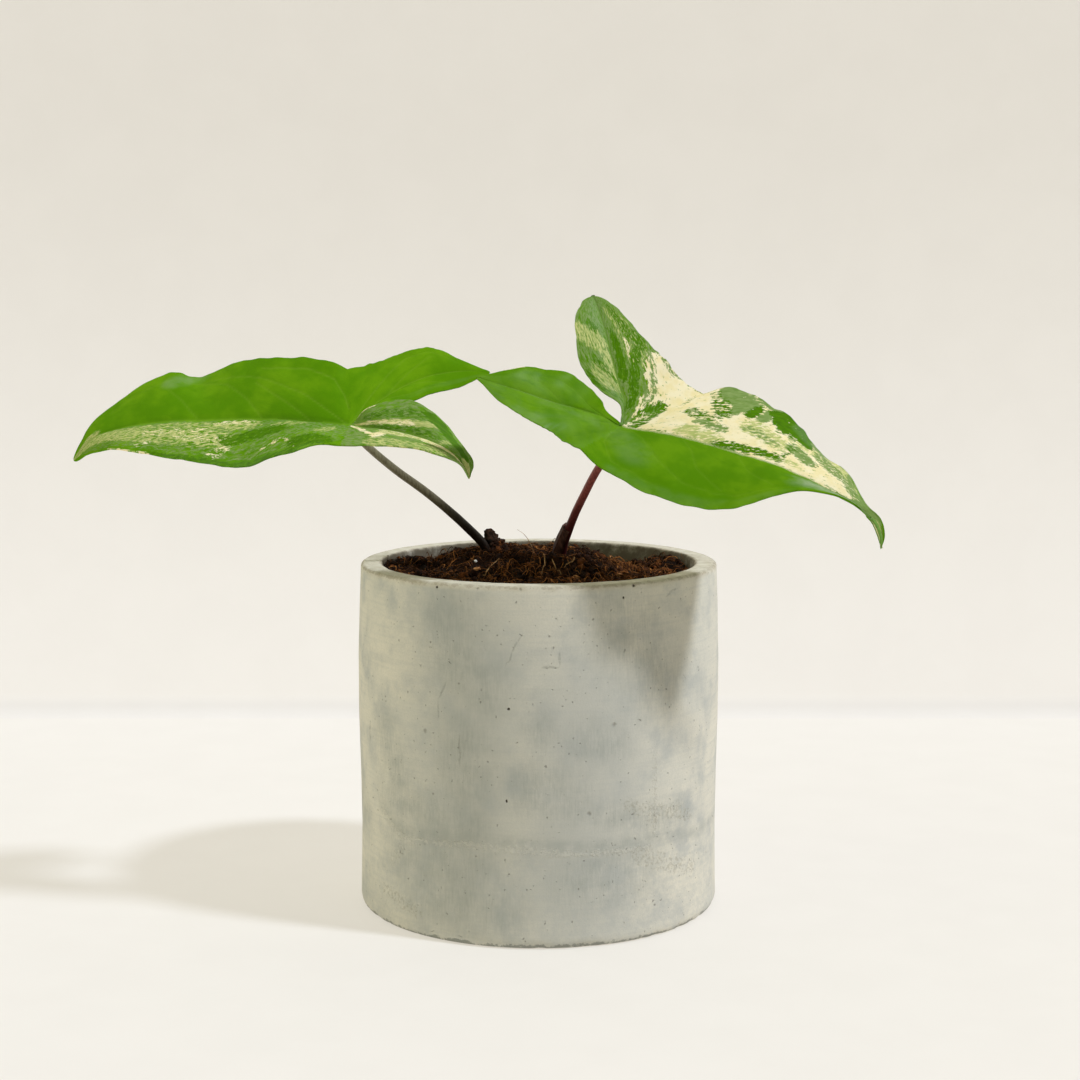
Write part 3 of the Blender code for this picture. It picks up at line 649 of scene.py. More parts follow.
def make_blade_material(name, lift, vein_share, underside=False):
    """Leaf skin. Brushed attributes say where it is milky, cream or dark, and specks break their edges. Where
    it shines, a painted sheen is laid into its colour, besides its coat.
    """
    made, tree, shader = new_material(name, 0.5, 0.0)
    place = object_place(tree)
    flow = node(tree, "UVMap", uv_map="flow").outputs[0]
    flow = scaled(tree, flow, (FLOW_UNIT, FLOW_UNIT, FLOW_UNIT))
    stretched = scaled(tree, flow, (0.5, 1.0, 1.0))
    green, deep_green = (tuple(lift * part for part in paint) for paint in (GREEN, DEEP_GREEN))
    colour = blend(tree, cloud(tree, place, 0.07, 0.35, 0.65, 3.0), deep_green, green)
    colour = blend(tree, cloud(tree, stretched, 0.25, 0.45, 0.8), colour, deep_green)
    milky = cloud(tree, stretched, 0.8, 0.3, 0.7, 5.0)
    milky_green = blend(tree, milky, MILKY_GREEN, PALE_MILKY_GREEN)
    dark_green = blend(tree, milky, DARK_GREEN, DEEP_GREEN)
    cream = blend(tree, cloud(tree, place, 0.25, 0.35, 0.65), CREAM, PALE_CREAM)
    pale = blend(tree, milky, OLIVE, PALE_YELLOW)
    layers = [("grey", milky_green, 0.9, 3.6, 0.3), ("cream", cream, 0.9, 3.6, 0.12),
              ("pale", pale, 1.0, 3.8, 0.25), ("milky", milky_green, 1.1, 3.8, 0.18),
              ("dark", dark_green, 1.1, 3.8, 0.14)]
    for layer, paint, scale, raggedness, softness in layers:
        mask = ragged(tree, attribute(tree, layer), stretched, scale, raggedness, softness)
        colour = blend(tree, mask, colour, paint)
    vein = attribute(tree, "vein")
    colour = laid(tree, colour, vein, vein_share, VEIN_GREEN)
    if underside:
        colour = blend(tree, 0.4, colour, UNDERSIDE_GREEN)
    # Painted sheen: where the skin shines, a pale waxy grey-green is laid into its colour, besides the real
    # coat below.
    gloss = times(tree, attribute(tree, "gloss"), cloud(tree, place, 0.15, 0.25, 0.65))
    colour = laid(tree, colour, gloss, 0.9, PAINTED_SHEEN_GREEN)
    tree.links.new(maths(tree, "ADD", gloss, 0.05), shader.inputs["Coat Weight"])
    shader.inputs["Coat Roughness"].default_value = 0.36
    height = times(tree, noise_at(tree, place, 0.9, 2.0), 0.5)
    height = maths(tree, "SUBTRACT", height, times(tree, vein, 0.5))
    finish_surface(tree, shader, colour, height, 0.14)
    return made


# --- pot ---------------------------------------------------------------------------------------------------


def soft_step(value):
    value = np.clip(value, 0, 1)
    return value * value * (3 - 2 * value)


def distance_to(places, route):
    """Distance from places on a flat sheet to a route of such places."""
    route = [np.array(point, float) for point in route]
    nearest = np.full(len(places), 1e9)
    for start, end in zip(route, route[1:]):
        reach = end - start
        share = np.clip((places - start) @ reach / (reach @ reach), 0, 1)
        nearest = np.minimum(nearest, np.linalg.norm(places - start - share[:, None] * reach, axis=1))
    return nearest


def wall_mark_strength(wall, rows, spread):
    """How strongly each place on the wall is marked by rows of marks, real stains and painted shade alike,
    which are spread that much wider.
    """
    strongest = np.zeros(len(wall))
    for turn, height, end_turn, end_height, width in rows:
        start = (math.radians(turn) * WALL_RADIUS, height)
        end = (math.radians(end_turn) * WALL_RADIUS, end_height)
        near = soft_step(1 - distance_to(wall, [start, end]) / (spread * width))
        strongest = np.maximum(strongest, near)
    return strongest


def roughen_pot(points):
    """Gives the cast skin its swell, the lip its nicks and the foot its bites."""
    for point in points:
        x, y, z = point
        radius = math.hypot(x, y)
        if radius < POT_FLAT_RADIUS:
            continue
        outside = radius > POT_MIDDLE_RADIUS
        out = np.array([x / radius, y / radius, 0])
        swell = 0.16 * bumps((x, y, 1.4 * z), 38) + 0.05 * bumps(point, 9)
        if z > POT_LIP_START:
            point += np.array([0, 0, 0.09 * bumps(point + 40, 7)]) + out * 0.05 * bumps(point, 3)
            nick = max(0, bumps(point * (1, 1, 0) + 90, 4.5) - 0.42)
            at_edge = min(abs(radius - 59.7), abs(radius - 53.2)) < 0.5
            point -= out * nick * 1.6 * (1 if outside else -1) * at_edge
        elif z < POT_FOOT_TOP and radius > 58:
            bite = max(0, bumps((x, y, 7), 5) - 0.12) + 0.6 * max(0, bumps((x, y, 31), 2.2) - 0.2)
            share = 1 - z / POT_FOOT_TOP
            point -= out * min(bite * 1.8, 0.9) * share
        point += out * swell * (1 if outside else 0.3)


def stain_and_shade_pot(pot, points):
    """Writes to the pot's points where its wall, its mouth and its lip are stained, and where shade and the
    right blade's shadow are painted on its front.
    """
    wall = np.stack([np.arctan2(points[:, 0], -points[:, 1]) * WALL_RADIUS, points[:, 2]], -1)
    tide = [(*start, *end, TIDE_WIDTH) for start, end in zip(TIDE_LINE, TIDE_LINE[1:])]
    # Some of these rows paint shade and the right blade's shadow rather than stains.
    stains = {"smudge_and_shadow": (SMUDGES_AND_LEAF_SHADOW, 2.2), "grey cast and shade": (GREY_CAST_AND_SHADE, 1.6), "tide": (tide, 1.0),
              "crust": (PALE_CRUST, 1.5), "grime": (GRIME, 1.5)}
    for name, (rows, spread) in stains.items():
        write_values(pot, name, wall_mark_strength(wall, rows, spread))
    radii = np.hypot(points[:, 0], points[:, 1])
    heights = points[:, 2]
    inner = soft_step((54.0 - radii) / 1.5) * (heights > 90)
    write_values(pot, "inside", inner * (0.9 + 0.1 * np.sin(wall[:, 0] / 9)))
    write_values(pot, "soiled", inner * soft_step((115.5 - heights) / 4))
    from_edges = [np.hypot(radii - radius, heights - height) for radius, height in LIP_EDGES]
    write_values(pot, "edge", soft_step(1.3 - np.minimum(*from_edges)))


def make_pot():
    radii, levels = zip(*POT_WALL)
    heights = np.arange(levels[0], levels[-1], POT_WALL_STEP)
    outside = [(float(np.interp(height, levels, radii)), float(height)) for height in heights]
    pot = turned([*POT_FOOT, *outside, *POT_LIP, *POT_INSIDE], POT_SEGMENTS)
    points = points_of(pot) / MM
    roughen_pot(points)
    set_points(pot, points * MM)
    stain_and_shade_pot(pot, points)
    wear(pot, make_concrete())
    settle(pot, "concrete_pot", "concrete", "pot")


# --- soil --------------------------------------------------------------------------------------------------


def soil_height(x, y):
    """Height of the soil's smooth surface, in millimetres."""
    height = SOIL_HEIGHT + (SOIL_FALL[0] * x + SOIL_FALL[1] * y) / POT_MOUTH_RADIUS
    for hump_x, hump_y, rise, top_radius, foot_radius in SOIL_HUMPS:
        fall = (math.hypot(x - hump_x, y - hump_y) - top_radius) / (foot_radius - top_radius)
        fall = min(max(fall, 0), 1)
        height += rise * (1 - fall * fall * (3 - 2 * fall))
    return height


def crumbly_height(x, y):
    """Height of the soil's lumpy surface, in millimetres."""
    lumps = 1.5 * bumps((x, y, 3), 6) + 1.1 * bumps((x, y, 50), 2.6) + 0.5 * bumps((x, y, 90), 1.1)
    return soil_height(x, y) + lumps - 0.7


def soil_normal(x, y):
    """The way that the soil's smooth surface faces."""
    slope_x = (soil_height(x + 1, y) - soil_height(x - 1, y)) / 2
    slope_y = (soil_height(x, y + 1) - soil_height(x, y - 1)) / 2
    return Vector((-slope_x, -slope_y, 1)).normalized()


def make_soil():
    foot = POT_BASE_THICKNESS + 0.3
    rings = np.arange(0, SOIL_RADIUS, SOIL_STEP)
    top = [(float(radius), POT_HEIGHT) for radius in rings] + [(SOIL_RADIUS, POT_HEIGHT)]
    soil = turned([*top, (50.1, foot + 3.4), (46.8, foot), (0, foot)], SOIL_SEGMENTS)
    points = points_of(soil) / MM
    for point in points:
        if point[2] > POT_HEIGHT - 1:
            point[2] = crumbly_height(point[0], point[1])
    set_points(soil, points * MM)
    write_values(soil, "tone", np.zeros(len(points)))
    wear(soil, make_coir("moist coir", (0.008, 0.004, 0.002), (0.05, 0.02, 0.008), 0.3))
    settle(soil, "coir_soil", "coir", "soil")


def scatter(chance, reach):
    """A place on the soil, even over the disc."""
    radius = reach * math.sqrt(chance.random())
    turn = chance.uniform(0, math.tau)
    return radius * math.cos(turn), radius * math.sin(turn)


def heap(name, points, faces, tones):
    """Many small shapes as one mesh."""
    mesh = bpy.data.meshes.new(name)
    mesh.from_pydata((np.array(points) * MM).tolist(), [], faces)
    obj = bpy.data.objects.new(name, mesh)
    bpy.context.scene.collection.objects.link(obj)
    write_values(obj, "tone", tones)
    take(obj)
    bpy.ops.object.shade_smooth()
    return obj


def on_stub(height, turn):
    """A place on the old stem's side, by its height along the stem and its turn round it."""
    radius = float(np.interp(height, [h for _, h in STUB_PROFILE[::-1]], [r for r, _ in STUB_PROFILE[::-1]]))
    lean = Vector(STUB_LEAN).to_track_quat("Z", "Y")
    return Vector(STUB_FOOT) + lean @ Vector((radius * math.cos(turn), radius * math.sin(turn), height))


def beside_stub(chance):
    """A place on the old stem's right side, or on the slope of crumbs to its right."""
    height, side = chance.uniform(3, 13), chance.uniform(0, math.tau)
    right = max(on_stub(height, side), on_stub(height, side + math.pi), key=lambda place: place.x)
    return np.array(right) + np.array([0.45 * (14 - height) * chance.random(), 0, 0])


def crumb_shape(level):
    """Corners and faces of a ball, with more of them at a higher level."""
    clear_selection()
    bpy.ops.mesh.primitive_ico_sphere_add(subdivisions=level, radius=1)
    ball = bpy.context.object
    corners, sides = points_of(ball), [tuple(face.vertices) for face in ball.data.polygons]
    bpy.data.objects.remove(ball, do_unlink=True)
    return corners, sides


def make_crumbs():
    """Crumbs of coir, paler on the right, the larger ones as clods of finer faces that stand out."""
    chance = random.Random(11)
    crumb, clod = crumb_shape(1), crumb_shape(2)
    points, faces, tones = [], [], []
    for i in range(CRUMBS):
        large = i % CLOD_EVERY == 0
        corners, sides = clod if large else crumb
        x, y = scatter(chance, SOIL_RADIUS - 0.8)
        size = chance.uniform(0.9, 1.7) if large else 0.25 + 0.75 * chance.random() ** 2
        size = min(size, SOIL_RADIUS - math.hypot(x, y))
        tone = chance.random() ** (6 if x < 20 else 2.0)
        centre = np.array([x, y, crumbly_height(x, y) + 0.2 * size])
        if i < STUB_CRUMBS:
            centre, size = beside_stub(chance), min(size, 0.9)
        turn = np.array(Matrix.Rotation(chance.uniform(0, math.tau), 3, Vector((chance.gauss(0, 1), 1, 0.4))))
        squash = np.array([chance.uniform(0.6, 1.4), chance.uniform(0.5, 1.1), chance.uniform(0.5, 0.9)])
        first = len(points)
        for corner in corners:
            jag = 1 + 0.42 * chance.uniform(-1, 1)
            points.append(centre + turn @ (corner * squash * jag) * size)
            tones.append(tone)
        faces += [tuple(first + i for i in side) for side in sides]
    crumbs = heap("crumbs", points, faces, tones)
    wear(crumbs, make_coir("coir crumbs", (0.012, 0.0045, 0.0025), (0.22, 0.068, 0.016), 0.75))
    settle(crumbs, "coir_crumbs", "coir")


def fibre_corners(x, y, heading, curl, length, radius, lift):
    """Corners of a three-sided hair that starts at a place on the soil and curves over the surface."""
    corners = []
    for i in range(FIBRE_STEPS + 1):
        share = i / FIBRE_STEPS
        if math.hypot(x, y) > SOIL_RADIUS - 0.6:
            x, y = x * 0.98, y * 0.98
        middle = np.array([x, y, crumbly_height(x, y) + 0.2 + lift * math.sin(math.pi * share)])
        side = np.array([-math.sin(heading), math.cos(heading), 0])
        thin = radius * (1 - 0.55 * abs(2 * share - 1))
        for spoke in (0.5, 2.6, 4.7):
            corners.append(middle + thin * (side * math.cos(spoke) + np.array([0, 0, math.sin(spoke)])))
        heading += curl
        x += math.cos(heading) * length / FIBRE_STEPS
        y += math.sin(heading) * length / FIBRE_STEPS
    return corners


def fibre_faces(first):
    """Sides and ends of a three-sided hair whose corners are numbered from first."""
    faces = []
    for i in range(FIBRE_STEPS):
        for j in range(3):
            a, b = first + 3 * i + j, first + 3 * i + (j + 1) % 3
            faces.append((a, b, b + 3, a + 3))
    last = first + 3 * FIBRE_STEPS
    return [*faces, (first + 2, first + 1, first), (last, last + 1, last + 2)]


def make_fibres():
    """Coir fibres, some of which stand up a little, paler at the front and on the right."""
    chance = random.Random(5)
    points, faces, tones = [], [], []
    for _ in range(FIBRES):
        x, y = scatter(chance, SOIL_RADIUS - 2)
        heading, curl = chance.uniform(0, math.tau), chance.gauss(0, 0.4)
        length = chance.uniform(2.0, 10.0)
        radius = 0.07 + 0.18 * chance.random() ** 2
        lift = chance.uniform(0.2, 1.2) + (chance.random() < 0.15) * chance.uniform(0.5, 2.0)
        tone = chance.random() ** (2.2 if y < -22 or x > 22 else 5.0)
        faces += fibre_faces(len(points))
        corners = fibre_corners(x, y, heading, curl, length, radius, lift)
        points += corners
        tones += [tone] * len(corners)
    fibres = heap("fibres", points, faces, tones)
    wear(fibres, make_coir("coir fibre", (0.025, 0.008, 0.003), (0.56, 0.22, 0.06), 0.9))
    settle(fibres, "coir_fibres", "coir")


# --- blades ------------------------------------------------------------------------------------------------

# Strokes of the brush: paint, strength, half width in millimetres, and places as (share of the lobe, across).
# Across is below 0 on the back or outer side of the rib and above 0 on the front or inner side.
RIGHT_PAINT = {
    "main": [
        ("grey", 0.9, 14.0, [(0.0, -0.5), (0.73, -0.5)]),
        ("cream", 1.0, 14.0, [(0.0, -0.5), (0.56, -0.5)]),
        ("pale", 0.72, 4.0, [(0.52, -0.9), (0.66, -0.8)]),
        ("pale", 0.62, 3.6, [(0.3, -0.5), (0.42, -0.42)]),
        ("pale", 0.7, 2.4, [(0.17, -0.13), (0.27, -0.1)]),
        ("pale", 0.5, 1.8, [(0.43, -0.12), (0.52, -0.2)]),
        ("pale", 0.5, 2.5, [(0.43, -0.65), (0.5, -0.75)]),
        ("dark", 0.75, 2.4, [(0.0, -0.45), (0.02, -0.25), (0.03, -0.1)]),
        ("dark", 0.45, 1.2, [(0.01, -0.85), (0.05, -0.6)]),
        ("milky", 1.3, 3.8, [(0.12, -0.95), (0.16, -0.86), (0.24, -0.78)]),
        ("milky", 1.2, 1.6, [(0.2, -0.78), (0.22, -0.6)]),
        ("dark", 1.2, 1.7, [(0.255, -0.83), (0.262, -0.68)]),
        ("milky", 1.3, 1.8, [(0.294, -0.86), (0.298, -0.7)]),
        ("dark", 1.25, 2.6, [(0.3, -0.97), (0.33, -0.84), (0.37, -0.76)]),
        ("dark", 1.25, 2.6, [(0.34, -0.8), (0.46, -0.86)]),
        ("dark", 0.6, 1.2, [(0.37, -0.66), (0.42, -0.68)]),
        ("milky", 1.25, 2.2, [(0.42, -1.0), (0.52, -0.98)]),
        ("milky", 1.1, 1.4, [(0.22, -1.0), (0.3, -0.99)]),
        ("dark", 1.2, 1.8, [(0.33, -0.98), (0.44, -0.98)]),
        ("dark", 0.68, 2.4, [(0.15, -0.68), (0.21, -0.5)]),
        ("dark", 0.6, 2.0, [(0.12, -0.42), (0.19, -0.38)]),
        ("dark", 0.42, 1.6, [(0.09, -0.84), (0.14, -0.7)]),
        ("milky", 0.8, 1.8, [(0.18, -0.31), (0.25, -0.28)]),
        ("milky", 0.5, 2.0, [(0.3, -0.44), (0.4, -0.38)]),
        ("dark", 0.85, 1.9, [(0.285, -0.04), (0.35, -0.1), (0.44, -0.16)]),
        ("dark", 0.6, 1.0, [(0.455, -0.3), (0.46, -0.1)]),
        ("milky", 0.9, 3.4, [(0.46, -0.52), (0.52, -0.44)]),
        ("dark", 0.5, 1.2, [(0.45, -0.55), (0.455, -0.35)]),
        ("milky", 0.72, 4.2, [(0.54, -0.78), (0.62, -0.62), (0.68, -0.6)]),
        ("milky", 0.8, 2.2, [(0.66, -0.9), (0.68, -0.4)]),
        ("cream", 1.0, 3.8, [(0.55, -0.24), (0.66, -0.22)]),
        ("grey", 0.9, 8.0, [(0.74, 0.5), (1.0, 0.4)]),
        # Painted light: the next stroke lays cream, brighter than the tip's own pale, on the front side of
        # the tip where it falls in shade.
        ("cream", 0.64, 3.8, [(0.82, 0.75), (1.0, 0.6)]),
        ("grey", 0.45, 5.0, [(0.8, -0.5), (1.0, -0.4)]),
        ("pale", 0.5, 3.0, [(0.84, -0.4), (1.0, -0.3)]),
        ("pale", 0.5, 3.0, [(0.8, 0.6), (1.0, 0.5)]),
        ("pale", 0.5, 1.0, [(0.74, 0.1), (0.98, 0.1)]),
        ("milky", 0.6, 0.4, [(0.0, -1.0), (0.7, -1.0)]),
    ],
    "back_lobe": [
        ("grey", 0.62, 30.0, [(0.0, -0.5), (1.0, -0.5)]),
        ("grey", 0.58, 30.0, [(0.0, 0.5), (1.0, 0.5)]),
        ("cream", 1.0, 8.0, [(0.0, -0.88), (0.24, -0.84)]),
        ("cream", 0.95, 2.6, [(0.12, -0.45), (0.28, -0.6), (0.38, -0.85)]),
        ("cream", 0.7, 2.0, [(0.04, -0.22), (0.14, -0.3)]),
        ("dark", 0.68, 2.0, [(0.0, -0.52), (0.05, -0.45), (0.04, -0.25)]),
        ("milky", 0.6, 1.5, [(0.24, -0.97), (0.32, -0.96)]),
        ("milky", 0.66, 1.2, [(0.12, -0.4), (0.25, -0.58), (0.36, -0.76), (0.44, -0.85)]),
        ("milky", 0.55, 1.2, [(0.08, -0.3), (0.2, -0.36)]),
        ("dark", 0.74, 2.0, [(0.14, -0.08), (0.3, -0.28), (0.38, -0.42)]),
        ("dark", 0.68, 2.2, [(0.38, -0.42), (0.44, -0.52), (0.5, -0.78)]),
        ("dark", 0.58, 3.5, [(0.55, -0.85), (0.62, -0.65), (0.8, -0.6)]),
        ("cream", 0.66, 1.1, [(0.46, -0.42), (0.56, -0.48)]),
        ("dark", 0.8, 2.4, [(0.36, -0.14), (0.5, -0.2), (0.6, -0.2)]),
        ("pale", 0.45, 2.0, [(0.68, -0.5), (0.8, -0.3)]),
        ("pale", 0.3, 8.0, [(0.5, -0.6), (0.7, -0.6)]),
        ("pale", 0.62, 3.0, [(0.42, 0.06), (0.5, 0.15), (0.6, 0.3), (0.64, 0.6), (0.7, 0.95)]),
        ("pale", 0.5, 5.0, [(0.35, 0.1), (0.4, 0.6)]),
        ("pale", 0.62, 1.8, [(0.56, 0.1), (0.62, 0.3)]),
        ("pale", 0.62, 1.4, [(0.33, 0.35), (0.38, 0.5), (0.45, 0.75)]),
        ("dark", 0.7, 1.4, [(0.34, 0.1), (0.38, 0.15)]),
        ("dark", 0.7, 2.0, [(0.34, 0.88), (0.44, 0.92)]),
        ("dark", 0.65, 1.6, [(0.67, 0.3), (0.7, 0.45)]),
        ("dark", 0.55, 1.6, [(0.42, 0.3), (0.5, 0.55)]),
        ("dark", 0.5, 2.0, [(0.14, 0.3), (0.3, 0.8)]),
        ("dark", 0.6, 0.35, [(0.0, -1.0), (0.9, -1.0)]),
    ],
    "front_lobe": [("cream", 0.6, 0.5, [(0.8, 0.99), (0.92, 0.99)])],
}
LEFT_PAINT = {
    "main": [
        ("grey", 0.52, 8.0, [(0.05, 0.3), (0.9, 0.3)]),
        ("grey", 0.45, 5.0, [(0.06, 0.72), (0.9, 0.72)]),
        ("dark", 0.8, 4.6, [(0.08, 0.82), (0.19, 0.78)]),
        ("dark", 0.8, 3.2, [(0.27, 0.33), (0.35, 0.42), (0.42, 0.52)]),
        ("dark", 0.8, 1.4, [(0.2, 0.97), (0.64, 0.97)]),
        ("pale", 0.5, 2.6, [(0.07, 0.3), (0.12, 0.45)]),
        ("pale", 0.42, 2.4, [(0.2, 0.12), (0.28, 0.2)]),
        ("cream", 0.3, 1.3, [(0.2, 0.85), (0.25, 0.65)]),
        ("cream", 0.36, 1.3, [(0.27, 0.66), (0.31, 0.75)]),
        ("cream", 0.5, 2.0, [(0.37, 0.08), (0.46, 0.14)]),
        ("pale", 0.5, 3.0, [(0.36, 0.15), (0.46, 0.24)]),
        ("cream", 0.46, 2.6, [(0.44, 0.55), (0.56, 0.5)]),
        ("cream", 0.36, 2.0, [(0.42, 0.65), (0.46, 0.85)]),
        ("cream", 0.42, 3.0, [(0.5, 0.35), (0.66, 0.4)]),
        ("cream", 0.45, 1.6, [(0.66, 0.65), (0.69, 0.8)]),
        ("pale", 0.48, 6.0, [(0.46, 0.5), (0.72, 0.5)]),
        ("pale", 0.45, 3.0, [(0.5, 0.15), (0.7, 0.2)]),
        ("pale", 0.6, 8.0, [(0.74, 0.4), (0.85, 0.3), (1.0, 0.3)]),
        ("grey", 0.62, 7.0, [(0.92, -0.1), (1.0, 0.0)]),
        ("pale", 0.64, 7.0, [(0.92, -0.1), (1.0, 0.0)]),
        ("cream", 0.62, 0.6, [(0.66, 0.99), (0.8, 0.99)]),
    ],
    "back_lobe": [],
    "front_lobe": [
        ("grey", 0.7, 30.0, [(0.0, -0.5), (1.0, -0.5)]),
        ("grey", 0.55, 30.0, [(0.03, 0.5), (1.0, 0.5)]),
        ("pale", 0.5, 4.0, [(0.2, -0.85), (0.6, -0.8)]),
        ("cream", 0.8, 1.1, [(0.03, -0.05), (0.08, -0.2), (0.13, -0.42), (0.18, -0.55)]),
        ("cream", 1.0, 1.5, [(0.18, -0.6), (0.21, -0.4)]),
        ("cream", 0.6, 3.4, [(0.25, -0.25), (0.5, -0.22)]),
        ("pale", 0.6, 3.6, [(0.25, -0.25), (0.5, -0.22)]),
        # Painted light: the next stroke lays cream, brighter than the lobe's own pale here, where the lobe
        # turns away from the light.
        ("cream", 1.0, 4.0, [(0.5, -0.25), (0.68, -0.25)]),
        ("pale", 0.5, 4.4, [(0.5, -0.25), (0.7, -0.25)]),
        ("pale", 0.5, 1.6, [(0.45, -0.7), (0.55, -0.65)]),
        ("pale", 0.95, 1.5, [(0.05, 0.12), (0.12, 0.25), (0.3, 0.28), (0.4, 0.32), (0.5, 0.5)]),
        ("cream", 0.85, 1.6, [(0.08, 0.16), (0.14, 0.26), (0.3, 0.27), (0.38, 0.3)]),
        ("dark", 0.6, 1.2, [(0.17, 0.08), (0.35, 0.13)]),
        ("dark", 0.55, 2.0, [(0.38, 0.12), (0.52, 0.2)]),
        ("dark", 1.1, 3.8, [(0.52, 0.75), (0.65, 0.55), (0.75, 0.5)]),
        ("pale", 0.6, 1.0, [(0.55, 0.05), (0.62, 0.3)]),
        ("dark", 0.5, 3.0, [(0.15, 0.55), (0.4, 0.6)]),
        ("cream", 0.7, 0.5, [(0.0, 0.98), (0.2, 0.99)]),
        # The next three strokes pale the lobe's tip: its own pale and cream, made brighter as painted light
        # where the tip turns away from the light.
        ("cream", 1.0, 6.0, [(0.84, -0.3), (1.0, -0.2)]),
        ("cream", 0.7, 4.0, [(0.86, 0.3), (1.0, 0.2)]),
        ("pale", 0.85, 4.0, [(0.84, 0.3), (1.0, 0.3)]),
    ],
}
# Where the skin shines more, through its coat and a sheen painted into its colour: strength, half width in
# millimetres, and places
LEFT_GLOSS = {
    "main": [(0.25, 3.0, [(0.5, -0.95), (0.6, -0.75)]), (0.06, 2.0, [(0.1, 0.97), (0.6, 0.97)])],
    "back_lobe": [(0.06, 3.0, [(0.2, 0.8), (0.9, 0.6)])],
    "front_lobe": [(0.05, 9.0, [(0.1, 0.5), (0.6, 0.5)])],
}
RIGHT_GLOSS = {
    "main": [(0.12, 4.5, [(0.0, 0.2), (0.12, 0.55)]), (0.08, 2.0, [(0.1, 0.95), (0.5, 0.95)]),
             (0.7, 9.0, [(0.6, 0.5), (0.76, 0.5)]), (0.15, 3.0, [(0.4, -0.95), (0.55, -0.95)])],
    "back_lobe": [(0.08, 6.0, [(0.15, 0.6), (0.35, 0.6)]), (0.06, 9.0, [(0.8, 0.0), (1.0, 0.0)])],
    "front_lobe": [(0.12, 3.5, [(0.1, -0.2), (0.5, -0.15)]), (0.1, 3.0, [(0.4, -0.9), (0.9, -0.8)]),
                   (0.05, 14.0, [(0.0, -0.5), (0.9, 0.0)])],
}
# Length of each lobe's rounded tip, in millimetres
ROUND_TIPS = {"left": {"main": 7.0, "back_lobe": 2.0, "front_lobe": 2.0},
              "right": {"main": 2.0, "back_lobe": 7.0, "front_lobe": 2.5}}
TIP_ROUNDNESS = 0.5
MARGIN_WANDER = 0.04
PAINTS = ("grey", "pale", "cream", "milky", "dark")

# Widths and depths of the veins and of the grooves over them, in millimetres
RIB_WIDTH = 0.5
RIB_GROOVE = 1.3
RIB_DEPTH = {"main": 0.3, "back_lobe": 0.15, "front_lobe": 0.15}
VEIN_WIDTH = 0.35
VEIN_GROOVE = 2.2
VEIN_DEPTH = 0.16
SEAM_LENGTH = 5.0  # of the lobes' bases, which are smoothed where they meet
VEIN_SLANT = 28.0  # degrees from the rib, the way that the specks run
FLOW_SHIFT = (7.0, 60.0)  # moves the specks of one side away from the other's
# Side veins of each lobe, as places on it
MAIN_VEINS = [
    [(0.02, -0.02), (0.1, -0.18), (0.2, -0.42), (0.3, -0.62), (0.45, -0.76), (0.62, -0.8), (0.8, -0.72)],
    [(0.0, -0.25), (0.02, -0.5), (0.07, -0.72), (0.16, -0.8), (0.3, -0.8)],
    [(0.34, -0.02), (0.37, -0.3), (0.42, -0.6), (0.5, -0.78)],
    [(0.52, -0.02), (0.56, -0.35), (0.63, -0.72)],
    [(0.18, -0.02), (0.24, -0.22), (0.33, -0.55)],
    [(0.03, 0.02), (0.1, 0.2), (0.17, 0.5), (0.24, 0.72), (0.36, 0.8), (0.55, 0.8), (0.75, 0.74)],
    [(0.0, 0.25), (0.02, 0.55), (0.08, 0.8), (0.2, 0.88)],
    [(0.2, 0.02), (0.235, 0.2), (0.26, 0.45), (0.33, 0.72)],
    [(0.35, 0.02), (0.39, 0.35), (0.46, 0.72)],
    [(0.52, 0.02), (0.56, 0.35), (0.64, 0.72)],
]
LOBE_VEINS = [
    [(0.04, -0.03), (0.2, -0.25), (0.34, -0.55), (0.44, -0.78), (0.6, -0.8), (0.8, -0.6)],
    [(0.3, -0.02), (0.45, -0.3), (0.6, -0.65)],
    [(0.1, 0.03), (0.28, 0.3), (0.45, 0.62), (0.65, 0.7)],
    [(0.42, 0.02), (0.56, 0.3), (0.7, 0.6)],
]


def blade_lines(leaf, lobe):
    """A lobe's lines away from the attachment: back or outer margin, rib, front or inner margin."""
    if lobe == "main":
        return ([leaf["back_shoulder"], *leaf["back_margin"], leaf["tip"]],
                [leaf["attachment"], *leaf["midrib"], leaf["tip"]],
                [leaf["front_shoulder"], *leaf["front_margin"], leaf["tip"]])
    shape, shoulder = leaf[lobe], leaf[lobe.replace("lobe", "shoulder")]
    return ([shoulder, *shape["outer"], shape["tip"]], [leaf["attachment"], *shape["costa"], shape["tip"]],
            [leaf["sinus"], *shape["inner"], shape["tip"]])


def lobe_surface(lines, shares, acrosses, tip_share):
    """Points of a lobe, row by row from its base to its tip, which is rounded over a last share of it."""
    rows = []
    size = np.abs(acrosses)[:, None]
    for share in shares:
        rib = through(lines[1], share)
        ahead = through(lines[1], share + 0.03) - through(lines[1], share - 0.03)
        row = np.zeros((len(acrosses), 3))
        for line, side in ((lines[0], acrosses < 0), (lines[2], acrosses >= 0)):
            span = through(line, share) - rib
            own = 7 * line[0][0]
            wander = bumps((13 * share, own, 0), 1.0) + 0.5 * bumps((31 * share, own, 9), 1.0)
            span *= 1 + MARGIN_WANDER * wander * min(1, 8 * share, 8 * (1 - share))
            left_to_tip = min(1, max((1 - share) / tip_share, 1e-4))
            span *= left_to_tip ** -TIP_ROUNDNESS
            normal = np.cross(span, ahead)
            normal /= max(np.linalg.norm(normal), 1e-9)
            normal *= 1 if normal[2] > 0 else -1
            bow = BLADE_CAMBER * np.linalg.norm(span) * 4 * size * (1 - size) * min(1, 5 * share)
            row[side] = (rib + span * size + normal * bow)[side]
        rows.append(row)
    return np.concatenate(rows)


